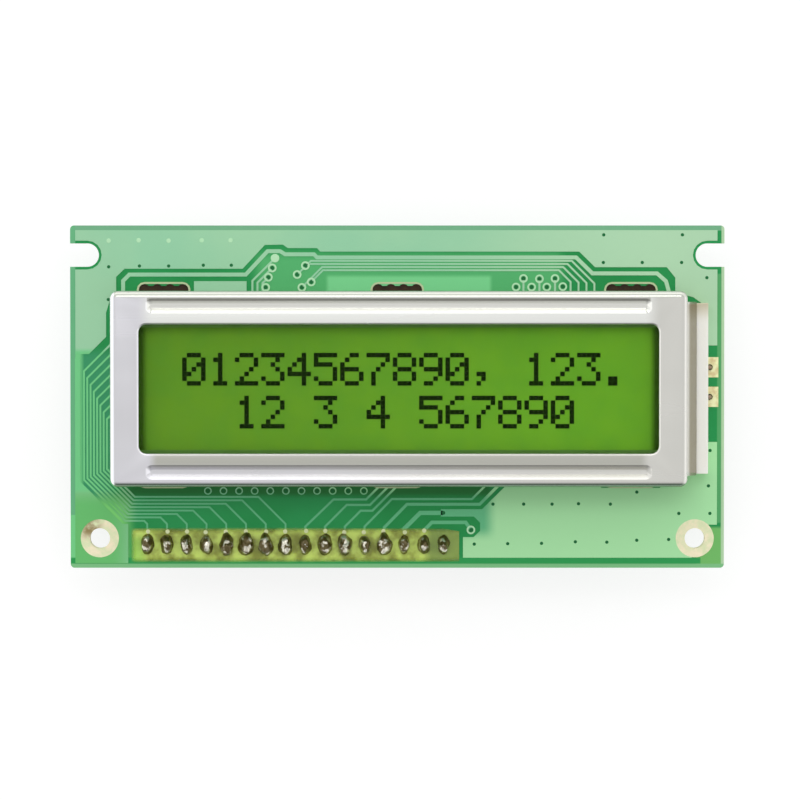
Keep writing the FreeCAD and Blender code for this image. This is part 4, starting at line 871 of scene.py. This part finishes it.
# Painted light at the bends: a painted reflection of the green board at the lower bend, painted shade at the
# upper bend, a painted highlight along the left bend and painted shade on the splayed right flap.
lower_bend_painted_reflection = steel.span(steel.axis("Y"), 0.00748, 0.00722)
tin_and_painted_light = steel.between(lower_bend_painted_reflection, tin_and_painted_light, tone(124, 148, 126))
upper_bend_painted_shade = steel.span(steel.axis("Y"), 0.03085, 0.03115)
tin_and_painted_light = steel.between(upper_bend_painted_shade, tin_and_painted_light, tone(202, 205, 195))
left_bend_painted_highlight = steel.span(steel.axis("X"), -0.0358, -0.036)
tin_and_painted_light = steel.between(left_bend_painted_highlight, tin_and_painted_light, tone(250, 250, 254))
splayed_flap_painted_shade = steel.span(steel.axis("X"), 0.0369, 0.0373)
steel.colour(steel.between(splayed_flap_painted_shade, tin_and_painted_light, tone(156, 150, 131)))
steel.rough(steel.span(rolling, 0.3, 0.7, 0.21, 0.28))
steel.bumps(rolling, 0.0000008)

# The press leaves the beads with slack walls and round ends, so the copy's grooves get round ends and
# narrower floors. The tabs' ends come off before every edge of the sheet is eased, and are made anew.
face_height = 6.9
bead_depth = 0.6
bead_floor = face_height - bead_depth
bead_offset = 10.55
bead_half_length = 32.2
bead_half_width = 0.925
floor_half = 0.32
floor_half_length = 31.5
bezel_x = 0.2
slant_radius = 0.45
press_radius = 0.14
tab_back = -1.64
bezel_mesh, blank = merged_copy("bezel", "pressed_bezel")
level_faces(blank)


def groove_corners(middle, level):
    """The corners of the groove that has this middle line, at one height over the board."""
    return [vert for vert in blank.verts if abs(vert.co.y / mm - middle) < bead_half_width + 0.02
            and abs(vert.co.z / mm - level) < 0.01 and abs(vert.co.x / mm - bezel_x) < bead_half_length + 0.1]


for side in (-1, 1):
    middle = bezel_y + side * bead_offset
    meeting = {edge for vert in groove_corners(middle, bead_floor) for edge in vert.link_edges}
    slants = [edge for edge in meeting
              if abs(edge.verts[0].co.z - edge.verts[1].co.z) > 0.5 * bead_depth * mm]
    bmesh.ops.bevel(blank, geom=slants, offset=slant_radius * mm, offset_type="OFFSET", segments=5,
                    profile=0.5, affect="EDGES", clamp_overlap=True, material=-1)
    floor_corners = groove_corners(middle, bead_floor)
    spread = max(abs(vert.co.y / mm - middle) for vert in floor_corners)
    for vert in floor_corners:
        vert.co.y = (middle + (vert.co.y / mm - middle) * floor_half / spread) * mm
    for corners, half, end in ((floor_corners, floor_half, floor_half_length),
                               (groove_corners(middle, face_height), bead_half_width, bead_half_length)):
        for vert in corners:
            across = min(abs(vert.co.y / mm - middle) / half, 1.0)
            reach = end - half * (1 - math.sqrt(1 - across ** 2))
            vert.co.x = (bezel_x + math.copysign(reach, vert.co.x)) * mm
tongues = [vert for vert in blank.verts if vert.co.z / mm < tab_back - 0.05]
bmesh.ops.delete(blank, geom=tongues, context="VERTS")
eased(blank, press_radius, 3, 22)
bmesh.ops.holes_fill(blank, edges=[edge for edge in blank.edges if edge.is_boundary], sides=0)

# The six tabs' ends turn evenly behind the board, in finer steps than the CAD piece has.
tab_reach = 2.0
tab_twist = math.radians(30)
tab_ease = 0.08
tab_half_width = 2.5
steel_half = 0.2
tab_levels = [(-0.05, 0.0)] + [(tab_reach * step / 8, 0.0) for step in range(8)]
tab_levels += [(tab_reach - tab_ease, 0.0), (tab_reach, tab_ease)]
for tab_x in (-30.0, 0.0, 30.0):
    for side in (-1, 1):
        tab_y = bezel_y + side * wall_offset
        tab_rings = []
        for down, shrink in tab_levels:
            turn = tab_twist * max(down, 0.0) / tab_reach
            half_u = tab_half_width - shrink
            half_v = steel_half - shrink
            along = [half_u - tab_ease - number * (half_u - tab_ease) / 3 for number in range(7)]
            half_way = [(-half_u, half_v - tab_ease), (-half_u, tab_ease - half_v)]
            outline = [(u, half_v) for u in along] + half_way
            outline += [(-u, -v) for u, v in outline]
            tab_rings.append([blank.verts.new(((tab_x + u * math.cos(turn) - v * math.sin(turn)) * mm,
                                               (tab_y + u * math.sin(turn) + v * math.cos(turn)) * mm,
                                               (tab_back - down) * mm)) for u, v in outline])
        faces = [blank.faces.new(tab_rings[0]), blank.faces.new(tab_rings[-1])]
        for upper, lower in zip(tab_rings, tab_rings[1:]):
            for number in range(len(upper)):
                after = (number + 1) % len(upper)
                faces.append(blank.faces.new((upper[number], upper[after], lower[after], lower[number])))
        bmesh.ops.recalc_face_normals(blank, faces=faces)
blank.to_mesh(bezel_mesh)
blank.free()
bezel_piece = link("pressed_bezel", bezel_mesh, steel, smooth=True)
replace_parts(bezel_piece, "bezel")
bezel_piece.data.set_sharp_from_angle(angle=math.radians(50.0))


# Copper behind the board: tracks fan out from both chips to two rows of vias, and one plane runs
# round the edge. It is etched and masked as the front is.
back_high = -1.6
back_low = back_high - foil
rear_ring = 2.6
back_edge = [(-41.35, -3.2), (-41.35, 34.4), *reversed(left_slot), (-41.35, 38.25), (-41.35, 39.6),
             (41.35, 39.6), (41.35, 38.25), *reversed(right_slot), (41.35, 34.4), (41.35, -3.2)]
back_field = [(-34.5, 2.2), (10.5, 2.2), (12.5, 4.6), (34.0, 4.6), (34.0, 33.6), (-34.5, 33.6)]
back_holes = [arc(x, 0.0, rear_ring, 0, 18, 20) for x in (hole_x, -hole_x)]
pin_bay = [(-35.0, -2.8), (8.2, -2.8), (8.2, 1.3), (-35.0, 1.3)]
copper_plane("rear_plane", [back_edge, back_field, *back_holes, pin_bay], back_low, back_high)
bond_pitch = 0.62
via_pitch = 1.15
bond_reach = 2.0
bend_reach = 10.9
via_reaches = (13.2, 12.2)
fans = []
rear_vias = []
for chip_x, chip_y, count in ((-12.8, 19.85, 18), (16.2, 19.85, 16)):
    for number in range(count):
        step = number - (count - 1) / 2
        near_x = chip_x + step * bond_pitch
        far_x = chip_x + step * via_pitch
        for way in (-1, 1):
            bend_y = chip_y + way * (bend_reach - 0.5 * abs(step))
            via = (far_x, chip_y + way * via_reaches[number % 2])
            fans.append([(near_x, chip_y + way * bond_reach), (near_x, bend_y),
                         (far_x, bend_y + way * abs(far_x - near_x)), via])
            rear_vias.append(via)
copper_tracks("rear_tracks", fans, 0.24, back_low, back_high)
dots_on_board("rear_vias", rear_vias, 0.42, back_high, ring_pale, low=back_low - 0.01)
# The rear bores are dark discs too: painted shade inside the rear vias.
dots_on_board("rear_bores", rear_vias, 0.2, back_low, bore_painted_shade, low=back_low - 0.02)


# Behind the board: two bonded chips under epoxy that was dropped on and set to low black domes, and
# small chip resistors and capacitors soldered by their end caps.
epoxy = Finish("black_epoxy", roughness=0.22)
epoxy.mottle(250.0, tone(18, 18, 20), tone(34, 33, 34))
epoxy.bumps(epoxy.speckle(300.0, detail=3.0), 0.00005)
epoxy.shader.inputs["Coat Weight"].default_value = 0.3
for chip in ("controller", "driver"):
    mesh, dome = merged_copy(chip + "_glob_top", chip + "_epoxy")
    dome.to_mesh(mesh)
    dome.free()
    blob = link(chip + "_epoxy", mesh, epoxy, smooth=True)
    blob.data.set_sharp_from_angle(angle=math.radians(60.0))
    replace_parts(blob, chip + "_glob_top")
silicon = Finish("silicon", roughness=0.2, metallic=0.4)
silicon.mottle(900.0, tone(96, 96, 108), tone(120, 118, 130))
for name in ("controller_die", "driver_die"):
    dress(nodes[name], silicon)
resistor = Finish("resistor_body", roughness=0.35)
resistor.mottle(1500.0, tone(24, 24, 26), tone(40, 40, 44))
dress(nodes["chip_resistors"], resistor)
capacitor = Finish("capacitor_body", roughness=0.45)
capacitor.mottle(1200.0, tone(176, 140, 98), tone(192, 156, 112))
dress(nodes["chip_capacitors"], capacitor)
end_caps = Finish("chip_metal", roughness=0.32, metallic=1.0)
end_caps.mottle(1500.0, tone(190, 190, 186), tone(216, 216, 212))
dress(nodes["chip_end_caps"], end_caps)
